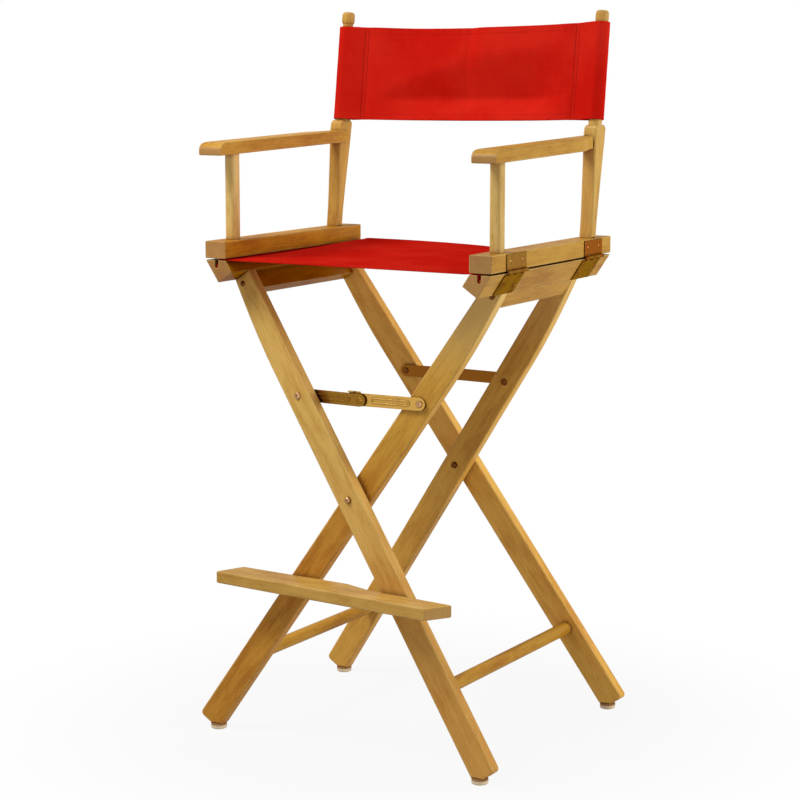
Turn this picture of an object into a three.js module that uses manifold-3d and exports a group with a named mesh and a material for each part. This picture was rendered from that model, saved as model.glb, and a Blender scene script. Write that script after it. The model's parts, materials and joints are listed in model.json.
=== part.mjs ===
// Tall director's chair: two crossed leg frames that fold on a pair of bolts, brass folding
// stays, hinged arm frames, a slung canvas seat, a canvas back and a pull-off footrest.
// Millimetres. -Y is the front of the chair and +Z is up. Left is -X and right is +X, as seen from
// the front.
import * as THREE from "three";
import { mergeVertices } from "three/addons/utils/BufferGeometryUtils.js";
import Module from "manifold-3d";

const wasm = await Module();
wasm.setup();

// ---- Driving dimensions ----
const gap = 0.3;
const originShift = 13.3;
const seatForward = 3.5;

// Leg frames. A frame's own coordinates are q, down its legs from the cross bolt, and w, square
// to the legs and towards the chair's middle at the seat.
const legSlant = THREE.MathUtils.degToRad(33.76);
const crossHeight = 404.5;
const legWidth = 42;
const legThickness = 20;
const legGap = 12;
const pairMiddle = 169.9;
const splay = 0.086;
const legTop = -399.8;
const legEnd = 472.5;
const taperStart = -245;
const taperDepth = 10.5;
const taperCurve = 1.7;
const footFlatHeight = 9.6;
const footCorner = 7;
const legEase = 1.6;

// Seat rails, aprons and stretchers.
const railHalfLength = 203.9;
const railOuterW = -10.3;
const railInnerW = 20.1;
const railBottomQ = -400.1;
const railTopHeight = 766;
const slotX = 233.9;
const slotHeight = 757;
const slotRadius = 3.25;
const apronDepth = 28.8;
const apronThickness = 20;
const rightStretcherQ = 326;
const leftStretcherQ = 330;
const stretcherRadius = 10.8;
const glideX = 250.2;
const glideRadius = 13;
const glideHeight = 9.3;

// Bolts, screws and their holes.
const boltRadius = 4;
const boltHoleRadius = 4.3;
const boltHeadHeight = 4.4;
const boltHead = [[0, 0], [3, 0.4], [4.8, 1.6], [5.4, 3.2], [5.4, boltHeadHeight]];
const nutGrip = 5;
const leanRoom = 1;
const washerRoom = 1.1;
const washerRadius = 9;
const smallHoleRadius = 3.3;
const screwQ = -387;
const screwHeadHeight = 2.4;
const screwHoleRadius = 2.5;
const screwHoleDepth = 42;

// Arm frames.
const armRailMiddle = 236.1;
const armRailWidth = 37.6;
const armRailBottom = 768.9;
const armRailHeight = 26.8;
const frontPostX = 236.8;
const frontPostY = -153.4;
const frontPostSize = 19.6;
const frontPostRound = 6;
const armrestMiddle = 242;
const armrestWidth = 41;
const armrestFront = -207;
const armrestBottom = 930.8;
const armrestThickness = 20.2;
const armrestRise = THREE.MathUtils.degToRad(1.2);
const armrestTaperStart = 82;
const armrestEnd = 173;
const backPostX = 238.4;
const backPostThickness = 22.6;
const backPostFootY = 152.2;
const backLean = THREE.MathUtils.degToRad(7.61);
const backDrawIn = 1.5e-5;
const backShoulder = 974;
const backDowelRadius = 10.8;
const backDowelSeat = 8;
const backTipDrop = 1.6;
const chairHeight = 1156;

// Hinges between the arm rails and the seat rails.
const hingePinX = 258.2;
const hingePinHeight = 767.5;
const hingeBarrelRadius = 2.9;
const hingePinRadius = 1.3;
const hingeWidth = 62;
const hingeFrontY = -127.4;
const hingeRearY = 137;
const hingePlate = 1.5;
const hingeSegments = 5;
const hingeScrewY = hingeWidth / 4 + 4;

// Folding stays.
const stayQ = -182.5;
const stayWidth = 20;
const stayThickness = 1.4;
const stayNearOffset = 4.3;
const stayFarOffset = 4.3;
const stayPinRadius = 3;
const stayCollarRadius = 5.4;
const stayScrewDepth = 14;

// Canvas.
const canvasThickness = 1.1;
const seatCanvasHalfDepth = 201.5;
const seatRise = 1.5;
const seatDowelRadius = 1.8;
const seatDowelInset = 4;
const backCanvasBottom = 978.4;
const backCanvasTop = 1130.2;
const backSleeveStitch = 195;
const sleeveEase = 1.6;
const backCanvasTilt = 0.0136;
const backCanvasLift = 1.5;

// Footrest.
const footrestTop = 269.7;
const footrestThickness = 19.6;
const pegRadius = 3;
const pegDepth = 8.5;
const pegProud = 15.5;
const pegPlaces = [85, 108];

// Longer than a cut has to be to leave its piece, and farther out than any piece reaches.
const drillReach = 30;
const beyond = 400;

const sin = Math.sin(legSlant);
const cos = Math.cos(legSlant);
const legHalf = legThickness / 2 / Math.cos(Math.atan(splay));
const outerLegY = pairMiddle + legGap / 2 + legHalf;
const innerLegY = pairMiddle - legGap / 2 - legHalf;
const pegHeight = footrestTop - footrestThickness / 2;
const alongDepth = new THREE.Vector3(0, 1, 0);

// ---- Materials ----
function finish(colour, roughness, metalness = 0) {
  return new THREE.MeshStandardMaterial({ color: colour, roughness, metalness });
}
const wood = () => finish(0xcda25c, 0.5);
const paleWood = () => finish(0xdcb878, 0.55);
const canvas = () => finish(0xcd1c14, 0.9);
const brass = () => finish(0xb98a3e, 0.35, 1);
const steel = () => finish(0xb9b6ae, 0.35, 1);
const plastic = () => finish(0xe9e4d6, 0.5);

// The drawing is centred on the leg frames. The origin is under the middle of the whole chair.
const chair = new THREE.Group();
const drawing = new THREE.Group();
drawing.position.y = originShift;
chair.add(drawing);
const upper = new THREE.Group();
upper.position.y = -seatForward;
drawing.add(upper);

function add(name, geometry, material, group = drawing) {
  geometry.deleteAttribute("uv");
  geometry.computeVertexNormals();
  const mesh = new THREE.Mesh(geometry, material());
  mesh.name = name;
  group.add(mesh);
}

// ---- Solids ----
// A copy that holds positions only, with its shared vertices merged.
function bare(geometry) {
  const copy = geometry.clone();
  copy.deleteAttribute("normal");
  copy.deleteAttribute("uv");
  return mergeVertices(copy, 1e-4);
}

function solid(geometry) {
  const merged = bare(geometry);
  const mesh = new wasm.Mesh({
    numProp: 3,
    vertProperties: new Float32Array(merged.attributes.position.array),
    triVerts: new Uint32Array(merged.index.array),
  });
  return new wasm.Manifold(mesh);
}

function geometryOf(manifold) {
  const mesh = manifold.getMesh();
  const geometry = new THREE.BufferGeometry();
  geometry.setAttribute("position", new THREE.Float32BufferAttribute(mesh.vertProperties, 3));
  geometry.setIndex(new THREE.Uint32BufferAttribute(mesh.triVerts, 1));
  return geometry;
}

function cut(geometry, ...tools) {
  let body = solid(geometry);
  for (const tool of tools) {
    body = body.subtract(solid(tool));
  }
  return geometryOf(body);
}

function join(...geometries) {
  let body = solid(geometries[0]);
  for (const other of geometries.slice(1)) {
    body = body.add(solid(other));
  }
  return geometryOf(body);
}

function common(first, second) {
  return geometryOf(solid(first).intersect(solid(second)));
}

// A closed body is turned face out where a mirrored map has turned it inside out.
function faceOut(geometry) {
  const position = geometry.attributes.position;
  const index = geometry.index.array;
  const a = new THREE.Vector3();
  const b = new THREE.Vector3();
  const c = new THREE.Vector3();
  let volume = 0;
  for (let i = 0; i < index.length; i += 3) {
    a.fromBufferAttribute(position, index[i]);
    b.fromBufferAttribute(position, index[i + 1]);
    c.fromBufferAttribute(position, index[i + 2]);
    volume += a.dot(b.cross(c));
  }
  if (volume < 0) {
    for (let i = 0; i < index.length; i += 3) {
      [index[i], index[i + 1]] = [index[i + 1], index[i]];
    }
  }
  return geometry;
}

function mirrored(geometry, axis) {
  const scale = new THREE.Vector3(1, 1, 1);
  scale[axis] = -1;
  const copy = bare(geometry);
  copy.scale(scale.x, scale.y, scale.z);
  return faceOut(copy);
}

function placed(geometry, x, y, z) {
  return geometry.translate(x, y, z);
}

function box(x0, x1, y0, y1, z0, z1) {
  const geometry = new THREE.BoxGeometry(x1 - x0, y1 - y0, z1 - z0);
  return placed(geometry, (x0 + x1) / 2, (y0 + y1) / 2, (z0 + z1) / 2);
}

// A cylinder whose axis runs from start along direction.
function rod(start, direction, length, radius, sides = 16) {
  const geometry = new THREE.CylinderGeometry(radius, radius, length, sides);
  geometry.translate(0, length / 2, 0);
  return aimed(geometry, start, direction);
}

function aimed(geometry, start, direction) {
  const turn = new THREE.Quaternion();
  turn.setFromUnitVectors(new THREE.Vector3(0, 1, 0), direction.clone().normalize());
  return placed(geometry.applyQuaternion(turn), start.x, start.y, start.z);
}

// A turned piece: profile points are [radius, distance along direction].
function turned(profile, start, direction, sides = 20) {
  const points = profile.map(([radius, along]) => new THREE.Vector2(radius, along));
  return aimed(new THREE.LatheGeometry(points, sides), start, direction);
}

function arcPoints(x, y, radius, from, to, steps) {
  const points = [];
  for (let i = 0; i <= steps; i += 1) {
    const angle = from + ((to - from) * i) / steps;
    points.push(new THREE.Vector2(x + radius * Math.cos(angle), y + radius * Math.sin(angle)));
  }
  return points;
}

function point2(x, y) {
  return new THREE.Vector2(x, y);
}

function extruded(points, depth) {
  return new THREE.ExtrudeGeometry(new THREE.Shape(points), { depth, bevelEnabled: false });
}

// An outline in x and z, drawn along the chair from y0 to y1.
function alongY(points, y0, y1) {
  const geometry = extruded(points, y1 - y0);
  geometry.rotateX(Math.PI / 2);
  return faceOut(bare(placed(geometry, 0, y1, 0)));
}

// An outline in y and z, drawn across the chair from x0 to x1.
function alongX(points, x0, x1) {
  const geometry = extruded(points, x1 - x0);
  const axes = new THREE.Matrix4().makeBasis(
    new THREE.Vector3(0, 1, 0), new THREE.Vector3(0, 0, 1), new THREE.Vector3(1, 0, 0));
  return faceOut(bare(placed(geometry.applyMatrix4(axes), x0, 0, 0)));
}

// An outline in x and y, drawn upwards from z0 to z1.
function alongZ(points, z0, z1) {
  return faceOut(bare(placed(extruded(points, z1 - z0), 0, 0, z0)));
}

// ---- Frame coordinates ----
// The outer frame's legs run down towards +X. The inner frame mirrors them in x.
function frameX(q, w) {
  return q * sin + w * cos;
}

function frameZ(q, w) {
  return crossHeight - q * cos + w * sin;
}

function frameAt(q, w, y) {
  return new THREE.Vector3(frameX(q, w), y, frameZ(q, w));
}

// The legs of a pair lean apart going down, so a front face is the plane y = base - splay * q.
function frontPlane(base) {
  return (q) => -base - splay * q;
}

function rearPlane(base) {
  return (q) => base + splay * q;
}

// A board in the frame's plane: an outline in q and w between two leaning planes, with its
// long edges eased by a small chamfer.
function board(outline, nearY, farY, ease) {
  const inner = inset(outline, ease);
  const rings = [
    inner.map((p) => frameAt(p.x, p.y, nearY(p.x))),
    outline.map((p) => frameAt(p.x, p.y, nearY(p.x) + ease)),
    outline.map((p) => frameAt(p.x, p.y, farY(p.x) - ease)),
    inner.map((p) => frameAt(p.x, p.y, farY(p.x))),
  ];
  return loft(rings, inner);
}

function loft(rings, capOutline) {
  const count = rings[0].length;
  const positions = rings.flat().flatMap((p) => [p.x, p.y, p.z]);
  const indices = [];
  for (let ring = 0; ring < rings.length - 1; ring += 1) {
    for (let i = 0; i < count; i += 1) {
      const a = ring * count + i;
      const b = ring * count + ((i + 1) % count);
      indices.push(a, b, a + count, b, b + count, a + count);
    }
  }
  const last = (rings.length - 1) * count;
  for (const [a, b, c] of THREE.ShapeUtils.triangulateShape(capOutline, [])) {
    indices.push(c, b, a);
    indices.push(last + a, last + b, last + c);
  }
  const geometry = new THREE.BufferGeometry();
  geometry.setAttribute("position", new THREE.Float32BufferAttribute(positions, 3));
  geometry.setIndex(indices);
  return faceOut(geometry);
}

// Moves each side of an anticlockwise outline inwards.
function inset(outline, distance) {
  const count = outline.length;
  return outline.map((corner, i) => {
    const before = outline[(i + count - 1) % count];
    const after = outline[(i + 1) % count];
    const first = corner.clone().sub(before).normalize();
    const second = after.clone().sub(corner).normalize();
    const normal = point2(-first.y - second.y, first.x + second.x).normalize();
    const spread = normal.dot(point2(-first.y, first.x));
    return corner.clone().addScaledVector(normal, distance / Math.max(spread, 0.5));
  });
}

// ---- Legs ----
function legOutline() {
  const flatStart = (crossHeight - (legWidth / 2) * sin - footFlatHeight) / cos;
  const flatEndW = (footFlatHeight - crossHeight + legEnd * cos) / sin;
  const half = legWidth / 2;
  const points = [point2(flatStart, -half), point2(legEnd, flatEndW)];
  points.push(...arcPoints(legEnd - footCorner, half - footCorner, footCorner, 0, Math.PI / 2, 5));
  points.push(point2(legTop, half));
  const taperSteps = 7;
  for (let i = 0; i <= taperSteps; i += 1) {
    const along = 1 - i / taperSteps;
    const depth = taperDepth * along ** taperCurve;
    points.push(point2(taperStart + (legTop - taperStart) * along, -half + depth));
  }
  return points;
}

// Parts of the front pair use side -1 and parts of the rear pair use side 1.
function legPlanes(middle, side) {
  if (side < 0) {
    return [frontPlane(middle + legHalf), frontPlane(middle - legHalf)];
  }
  return [rearPlane(middle - legHalf), rearPlane(middle + legHalf)];
}

function legBoard(middle, side) {
  const [near, far] = legPlanes(middle, side);
  return board(legOutline(), near, far, legEase);
}

function throughHole(q, radius, middle, side) {
  const centre = frameAt(q, 0, 0);
  const y = side * (middle + splay * q);
  const start = new THREE.Vector3(centre.x, y - drillReach, centre.z);
  return rod(start, alongDepth, 2 * drillReach, radius);
}

// The stays' bolts and the leg screws stand square to the leaning legs.
function legNormal() {
  const lean = Math.atan(splay);
  return new THREE.Vector3(Math.sin(lean) * sin, Math.cos(lean), -Math.sin(lean) * cos);
}

function forward(direction, side) {
  return side < 0 ? direction : new THREE.Vector3(direction.x, -direction.y, direction.z);
}

// A point on a leg's outer face, the face that is away from the chair's middle.
function onOuterFace(q, w, middle, side) {
  return frameAt(q, w, side * (middle + legHalf + splay * q));
}

function screwHole(middle, side) {
  const inward = forward(legNormal(), side);
  const start = onOuterFace(screwQ, 0, middle, side).addScaledVector(inward, -leanRoom);
  return rod(start, inward, leanRoom + screwHoleDepth, screwHoleRadius);
}

// The face of a leg that looks into the gap between the crossing legs.
function onGapFace(q, middle, side) {
  const offset = Math.sign(pairMiddle - middle) * legHalf;
  return frameAt(q, 0, side * (middle + offset + splay * q));
}

function stayHole(middle, side) {
  const inward = forward(legNormal(), side);
  const start = onGapFace(stayQ, middle, side).addScaledVector(inward, -drillReach);
  return rod(start, inward, 2 * drillReach, smallHoleRadius);
}

function pegHole(x) {
  const start = new THREE.Vector3(x, -faceAtPeg(x) - drillReach, pegHeight);
  return rod(start, alongDepth, drillReach + pegDepth, smallHoleRadius);
}

// How far forward of the chair's middle a front leg's face is, at a distance from the cross bolt.
function frontFace(legMiddle, distance, height) {
  const q = distance * sin + (crossHeight - height) * cos;
  return legMiddle + legHalf + splay * q;
}

function faceAtPeg(x) {
  return frontFace(outerLegY, x, pegHeight);
}

function outerLeg(side) {
  const tools = [
    throughHole(0, boltHoleRadius, outerLegY, side),
    screwHole(outerLegY, side),
    stayHole(outerLegY, side),
  ];
  if (side < 0) {
    tools.push(...pegPlaces.map(pegHole));
  }
  return cut(legBoard(outerLegY, side), ...tools);
}

function innerLeg(side) {
  const leg = cut(
    legBoard(innerLegY, side),
    throughHole(0, boltHoleRadius, innerLegY, side),
    screwHole(innerLegY, side),
    stayHole(innerLegY, side),
  );
  return mirrored(leg, "x");
}

add("leg_front_outer", outerLeg(-1), wood);
add("leg_rear_outer", outerLeg(1), wood);
add("leg_front_inner", innerLeg(-1), wood);
add("leg_rear_inner", innerLeg(1), wood);

// ---- Seat rails ----
function railTopQ(w) {
  return (crossHeight + w * sin - railTopHeight) / cos;
}

function railOutline() {
  const ring = arcPoints(-slotX, slotHeight, slotRadius, 0, -Math.PI, 10);
  return [
    point2(frameX(railTopQ(railInnerW), railInnerW), railTopHeight),
    point2(-slotX + slotRadius, railTopHeight),
    ...ring,
    point2(-slotX - slotRadius, railTopHeight),
    point2(frameX(railTopQ(railOuterW), railOuterW), railTopHeight),
    point2(frameX(railBottomQ, railOuterW), frameZ(railBottomQ, railOuterW)),
    point2(frameX(railBottomQ, railInnerW), frameZ(railBottomQ, railInnerW)),
  ];
}

function addToBothSides(name, geometry, material) {
  add(`${name}_left`, geometry, material, upper);
  add(`${name}_right`, mirrored(geometry, "x"), material, upper);
}

addToBothSides("seat_rail", alongY(railOutline(), -railHalfLength, railHalfLength), wood);

// ---- Aprons, stretchers and their screws ----
function apron(legMiddle) {
  const bottom = railBottomQ + gap;
  const outer = -legWidth / 2 + taperDepth;
  const outline = [
    point2(bottom, outer), point2(bottom + apronDepth, outer),
    point2(bottom + apronDepth, outer + apronThickness), point2(bottom, outer + apronThickness),
  ];
  const ease = 0.8;
  const reach = legMiddle - legHalf - gap;
  const blank = board(outline, frontPlane(reach), rearPlane(reach), ease);
  return cut(blank, screwHole(legMiddle, -1), screwHole(legMiddle, 1));
}

add("apron_left", apron(outerLegY), wood);
add("apron_right", mirrored(apron(innerLegY), "x"), wood);

function legScrew(middle, side) {
  const inward = forward(legNormal(), side);
  const start = onOuterFace(screwQ, 0, middle, side).addScaledVector(inward, -screwHeadHeight);
  const profile = [[0, 0], [2.6, 0.35], [4.4, 1.5], [4.4, 2.1], [2.1, 2.1], [2.1, 36], [0, 38]];
  return turned(profile, start, inward, 12);
}

add("leg_screw_front_outer", legScrew(outerLegY, -1), steel);
add("leg_screw_rear_outer", legScrew(outerLegY, 1), steel);
add("leg_screw_front_inner", mirrored(legScrew(innerLegY, -1), "x"), steel);
add("leg_screw_rear_inner", mirrored(legScrew(innerLegY, 1), "x"), steel);

function stretcher(legMiddle, q) {
  const reach = legMiddle - legHalf + splay * (q - stretcherRadius) - gap;
  const centre = frameAt(q, 0, -reach);
  const chamfer = 1;
  const profile = [
    [0, 0], [stretcherRadius - chamfer, 0], [stretcherRadius, chamfer],
    [stretcherRadius, 2 * reach - chamfer], [stretcherRadius - chamfer, 2 * reach], [0, 2 * reach],
  ];
  return turned(profile, centre, alongDepth, 20);
}

add("stretcher_right", stretcher(outerLegY, rightStretcherQ), wood);
add("stretcher_left", mirrored(stretcher(innerLegY, leftStretcherQ), "x"), wood);

// ---- Glides ----
function glide(legMiddle, side) {
  const q = glideX * sin + (crossHeight - footFlatHeight) * cos;
  const profile = [
    [0, 0], [glideRadius - 2, 0], [glideRadius - 0.5, 0.8], [glideRadius, 2.4],
    [glideRadius, glideHeight - 1], [glideRadius - 1, glideHeight], [0, glideHeight],
  ];
  const y = side * (legMiddle + splay * q);
  return turned(profile, new THREE.Vector3(glideX, y, 0), new THREE.Vector3(0, 0, 1), 24);
}

add("glide_front_right", glide(outerLegY, -1), plastic);
add("glide_rear_right", glide(outerLegY, 1), plastic);
add("glide_front_left", mirrored(glide(innerLegY, -1), "x"), plastic);
add("glide_rear_left", mirrored(glide(innerLegY, 1), "x"), plastic);

// ---- Cross bolts ----
// The bolt's head is on the leg that faces the front, and its dome nut is behind the other.
function crossBolt(frontMiddle, rearMiddle) {
  const start = frontMiddle - legHalf - leanRoom - boltHeadHeight;
  const length = rearMiddle + legHalf + leanRoom + nutGrip - start;
  const profile = [...boltHead, [boltRadius, boltHeadHeight], [boltRadius, length], [0, length]];
  return turned(profile, new THREE.Vector3(0, start, crossHeight), alongDepth);
}

function crossNut(rearMiddle) {
  const start = rearMiddle + legHalf + leanRoom;
  const place = new THREE.Vector3(0, start, crossHeight);
  const dome = turned([[0, 0], [7, 0], [7, 5], [5.6, 8], [3, 9.6], [0, 10]], place, alongDepth, 6);
  const mouth = new THREE.Vector3(0, start - 1, crossHeight);
  return cut(dome, rod(mouth, alongDepth, 1 + nutGrip + gap, boltRadius + gap));
}

function crossWasher(middle) {
  const half = legGap / 2 - washerRoom;
  const hollow = boltRadius + gap;
  const rim = washerRadius;
  const profile = [[hollow, 0], [rim, 0], [rim, 2 * half], [hollow, 2 * half], [hollow, 0]];
  return turned(profile, new THREE.Vector3(0, middle - half, crossHeight), alongDepth);
}

add("cross_bolt_front", crossBolt(-outerLegY, -innerLegY), steel);
add("cross_bolt_rear", crossBolt(innerLegY, outerLegY), steel);
add("cross_nut_front", crossNut(-innerLegY), steel);
add("cross_nut_rear", crossNut(outerLegY), steel);
add("cross_washer_front", crossWasher(-pairMiddle), steel);
add("cross_washer_rear", crossWasher(pairMiddle), steel);

// ---- Folding stays ----
// A link from its pin on a leg to the middle rivet, in the plane of that leg's face.
function stayFrame(near) {
  const normal = legNormal();
  const start = frameAt(stayQ, 0, 0);
  if (!near) {
    normal.x = -normal.x;
    start.x = -start.x;
  }
  const centreOffset = near ? stayNearOffset : -stayFarOffset;
  const faceY = near ? -pairMiddle - legGap / 2 : -pairMiddle + legGap / 2;
  start.y = faceY - splay * stayQ;
  start.addScaledVector(normal, centreOffset);
  const reach = Math.abs(start.x);
  const middle = new THREE.Vector3(start.x - Math.sign(start.x) * reach, 0, start.z);
  middle.y = start.y - (normal.x * (middle.x - start.x)) / normal.y;
  return { start, middle, normal };
}

function linkBlank(near) {
  const { start, middle, normal } = stayFrame(near);
  const along = middle.clone().sub(start);
  const length = along.length();
  along.normalize();
  const up = normal.clone().cross(along);
  const radius = stayWidth / 2;
  const outline = [
    ...arcPoints(0, 0, radius, Math.PI / 2, (3 * Math.PI) / 2, 10),
    ...arcPoints(length, 0, radius, -Math.PI / 2, Math.PI / 2, 10),
  ];
  const plate = extruded(outline, stayThickness);
  plate.translate(0, 0, -stayThickness / 2);
  const basis = new THREE.Matrix4().makeBasis(along, up, new THREE.Vector3().crossVectors(along, up));
  const geometry = faceOut(bare(placed(plate.applyMatrix4(basis), start.x, start.y, start.z)));
  return { geometry, start, middle, normal, along, up, length };
}

// A stamped oval rim stiffens each link.
function linkRib({ start, along, up, normal, length }) {
  const from = length * 0.2;
  const to = length * 0.78;
  const depth = 1.5;
  const oval = (half, tall) => extruded([
    ...arcPoints(from, 0, half, Math.PI / 2, (3 * Math.PI) / 2, 6),
    ...arcPoints(to, 0, half, -Math.PI / 2, Math.PI / 2, 6),
  ], tall);
  const rim = cut(oval(4.2, depth), oval(2.5, depth + 2).translate(0, 0, -1));
  const basis = new THREE.Matrix4().makeBasis(along, up, new THREE.Vector3().crossVectors(along, up));
  const proud = 0.9;
  const foot = start.clone().addScaledVector(normal, -stayThickness / 2 - proud);
  const flip = new THREE.Vector3().crossVectors(along, up).dot(normal) > 0 ? 0 : -depth;
  rim.translate(0, 0, flip);
  return faceOut(bare(placed(rim.applyMatrix4(basis), foot.x, foot.y, foot.z)));
}

// The pin hole at a link's leg end.
function linkHole({ start, normal }) {
  const outside = start.clone().addScaledVector(normal, -5);
  return rod(outside, normal, 10, smallHoleRadius);
}

function nearLink() {
  const link = linkBlank(true);
  const rivetFront = link.middle.clone().addScaledVector(link.normal, -stayThickness / 2 - 1.3);
  const rivet = turned([[0, 0], [3, 0.2], [5, 1], [5, 1.5], [0, 1.5]], rivetFront, link.normal, 14);
  const stub = rod(link.middle, link.normal, stayThickness / 2 + 1, 2.4, 12);
  return cut(join(link.geometry, linkRib(link), rivet, stub), linkHole(link));
}

// The far link ends in a stop that reaches over the near link's top edge.
function farLink() {
  const link = linkBlank(false);
  const lipTop = link.middle.z + stayWidth / 2 + 2.6;
  const lip = box(-21, -11, link.middle.y - 5, link.middle.y + 0.7, lipTop - 1.4, lipTop);
  const ear = box(-21, 0, link.middle.y - 0.7, link.middle.y + 0.7, link.middle.z + 2, lipTop);
  const rivetRear = link.middle.clone().addScaledVector(link.normal, stayThickness / 2 - 0.2);
  const rivet = turned([[0, 0], [4.5, 0], [4.5, 0.7], [2.6, 1.4], [0, 1.6]], rivetRear, link.normal, 14);
  return cut(join(link.geometry, linkRib(link), ear, lip, rivet), linkHole(link));
}

function stayBolt(near) {
  const { start, normal } = stayFrame(near);
  const inward = near ? normal : normal.clone().negate();
  const headHeight = 2.6;
  const faceAt = headHeight + gap;
  const legDepth = legThickness + stayNearOffset;
  const head = start.clone().addScaledVector(inward, -legDepth - faceAt);
  const collarStart = faceAt + legThickness + gap;
  const collar = legDepth + faceAt - stayThickness / 2 - gap;
  const tip = collar + stayThickness + 2 * gap + 0.4;
  const neck = stayPinRadius - 0.4;
  const profile = [
    [0, 0], [3, 0.3], [5.5, 1.4], [6, headHeight], [stayPinRadius, headHeight],
    [stayPinRadius, collarStart], [stayCollarRadius, collarStart], [stayCollarRadius, collar],
    [neck, collar], [neck, tip], [4.6, tip], [4.2, tip + 0.8], [0, tip + 0.8],
  ];
  return turned(profile, head, inward, 14);
}

// A short screw in the leg's face, whose head holds the link.
function stayScrew(near) {
  const { start, normal } = stayFrame(near);
  const outward = near ? normal : normal.clone().negate();
  const linkAt = stayScrewDepth + stayNearOffset;
  const face = start.clone().addScaledVector(outward, -linkAt);
  const collarStart = stayScrewDepth + gap;
  const collarEnd = linkAt - stayThickness / 2 - gap;
  const headStart = linkAt + stayThickness / 2 + gap;
  const neck = stayPinRadius - 0.4;
  const profile = [
    [0, 0], [neck, 1.5], [neck, collarStart], [stayCollarRadius, collarStart],
    [stayCollarRadius, collarEnd], [neck, collarEnd], [neck, headStart],
    [5.2, headStart], [4.8, headStart + 1], [2.6, headStart + 1.6], [0, headStart + 1.7],
  ];
  return turned(profile, face, outward, 14);
}

add("stay_link_front_left", nearLink(), brass);
add("stay_link_front_right", farLink(), brass);
add("stay_link_rear_left", mirrored(nearLink(), "y"), brass);
add("stay_link_rear_right", mirrored(farLink(), "y"), brass);
add("stay_bolt_front", stayBolt(true), steel);
add("stay_screw_front", stayScrew(false), steel);
add("stay_bolt_rear", mirrored(stayBolt(false), "y"), steel);
add("stay_screw_rear", mirrored(stayScrew(true), "y"), steel);

// ---- Arm frames, made on the left side and mirrored ----
function armRail() {
  const half = armRailWidth / 2;
  const ease = 1.2;
  const left = -armRailMiddle - half;
  const right = -armRailMiddle + half;
  const top = armRailBottom + armRailHeight;
  const outline = [
    point2(left + ease, armRailBottom), point2(right - ease, armRailBottom),
    point2(right, armRailBottom + ease), point2(right, top - ease),
    point2(right - ease, top), point2(left + ease, top),
    point2(left, top - ease), point2(left, armRailBottom + ease),
  ];
  return alongY(outline, -railHalfLength, railHalfLength);
}

function frontPost() {
  const half = frontPostSize / 2 - frontPostRound;
  const points = [];
  for (let corner = 0; corner < 4; corner += 1) {
    const from = (corner * Math.PI) / 2;
    const x = half * Math.sign(Math.cos(from + Math.PI / 4));
    const y = half * Math.sign(Math.sin(from + Math.PI / 4));
    points.push(...arcPoints(x - frontPostX, y + frontPostY, frontPostRound, from, from + Math.PI / 2, 5));
  }
  return alongZ(points, armRailBottom + armRailHeight + gap, armrestBottom - 2 * gap);
}

function backPostMiddleY(z) {
  return backPostFootY + (z - armRailBottom - armRailHeight) * Math.tan(backLean);
}

// The board foot deepens from the arm rail to the shoulders, which round into the dowel.
function backPostSide() {
  const foot = armRailBottom + armRailHeight + gap;
  const depths = [[foot, 16.8], [826, 17.4], [850, 20], [880, 24.4], [914, 29.4], [944, 34.3], [961, 36]];
  const shoulderRadius = 7;
  const rear = depths.map(([z, depth]) => point2(backPostMiddleY(z) + depth / 2, z));
  const front = depths.map(([z, depth]) => point2(backPostMiddleY(z) - depth / 2, z)).reverse();
  const shoulder = backShoulder - shoulderRadius;
  const middle = backPostMiddleY(backShoulder);
  const reach = 18 - shoulderRadius;
  const rearArc = arcPoints(middle + reach, shoulder, shoulderRadius, 0.15, Math.PI / 2, 5);
  const frontArc = arcPoints(middle - reach, shoulder, shoulderRadius, Math.PI / 2, Math.PI - 0.15, 5);
  return [...rear, ...rearArc, ...frontArc, ...front];
}

// The canvas draws the back posts in a little towards their tops.
function drawnIn(geometry) {
  const position = geometry.attributes.position;
  const foot = armRailBottom + armRailHeight;
  for (let i = 0; i < position.count; i += 1) {
    const share = 1 - backDrawIn * (position.getZ(i) - foot);
    position.setX(i, position.getX(i) * share);
  }
  return geometry;
}

function backPost() {
  const half = backPostThickness / 2;
  const side = backPostSide();
  const ease = 2.2;
  const inner = inset(side, ease);
  const section = (outline, x) => outline.map((p) => new THREE.Vector3(x, p.x, p.y));
  const foot = loft([
    section(inner, -backPostX - half), section(side, -backPostX - half + ease),
    section(side, -backPostX + half - ease), section(inner, -backPostX + half),
  ], inner);
  const lean = new THREE.Vector3(0, Math.sin(backLean), Math.cos(backLean));
  const bottom = backShoulder - backDowelSeat;
  const start = new THREE.Vector3(-backPostX, backPostMiddleY(bottom), bottom);
  const total = (chairHeight - bottom) / Math.cos(backLean) - backTipDrop;
  const radius = backDowelRadius;
  const neck = radius - 2.2;
  const profile = [
    [0, 0], [radius, 0], [radius, total - 31], [neck, total - 28], [neck, total - 20.5],
    [radius - 0.6, total - 18], [radius + 0.1, total - 14], [radius - 0.2, total - 4.5],
    [radius - 1.4, total - 1.5], [radius - 3.4, total - 0.2], [0, total],
  ];
  const dowel = turned(profile, start, lean, 20);
  return cut(drawnIn(join(foot, dowel)), armrestRoom());
}

function armrestInnerX() {
  return armrestMiddle - armrestWidth / 2;
}

function tongueX() {
  return backPostX - 4;
}

// The armrest rises a little to the rear, turning about the front post.
function raised(geometry) {
  const base = new THREE.Vector3(0, frontPostY, armrestBottom);
  geometry.translate(0, -base.y, -base.z);
  geometry.rotateX(armrestRise);
  return geometry.translate(0, base.y, base.z);
}

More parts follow.
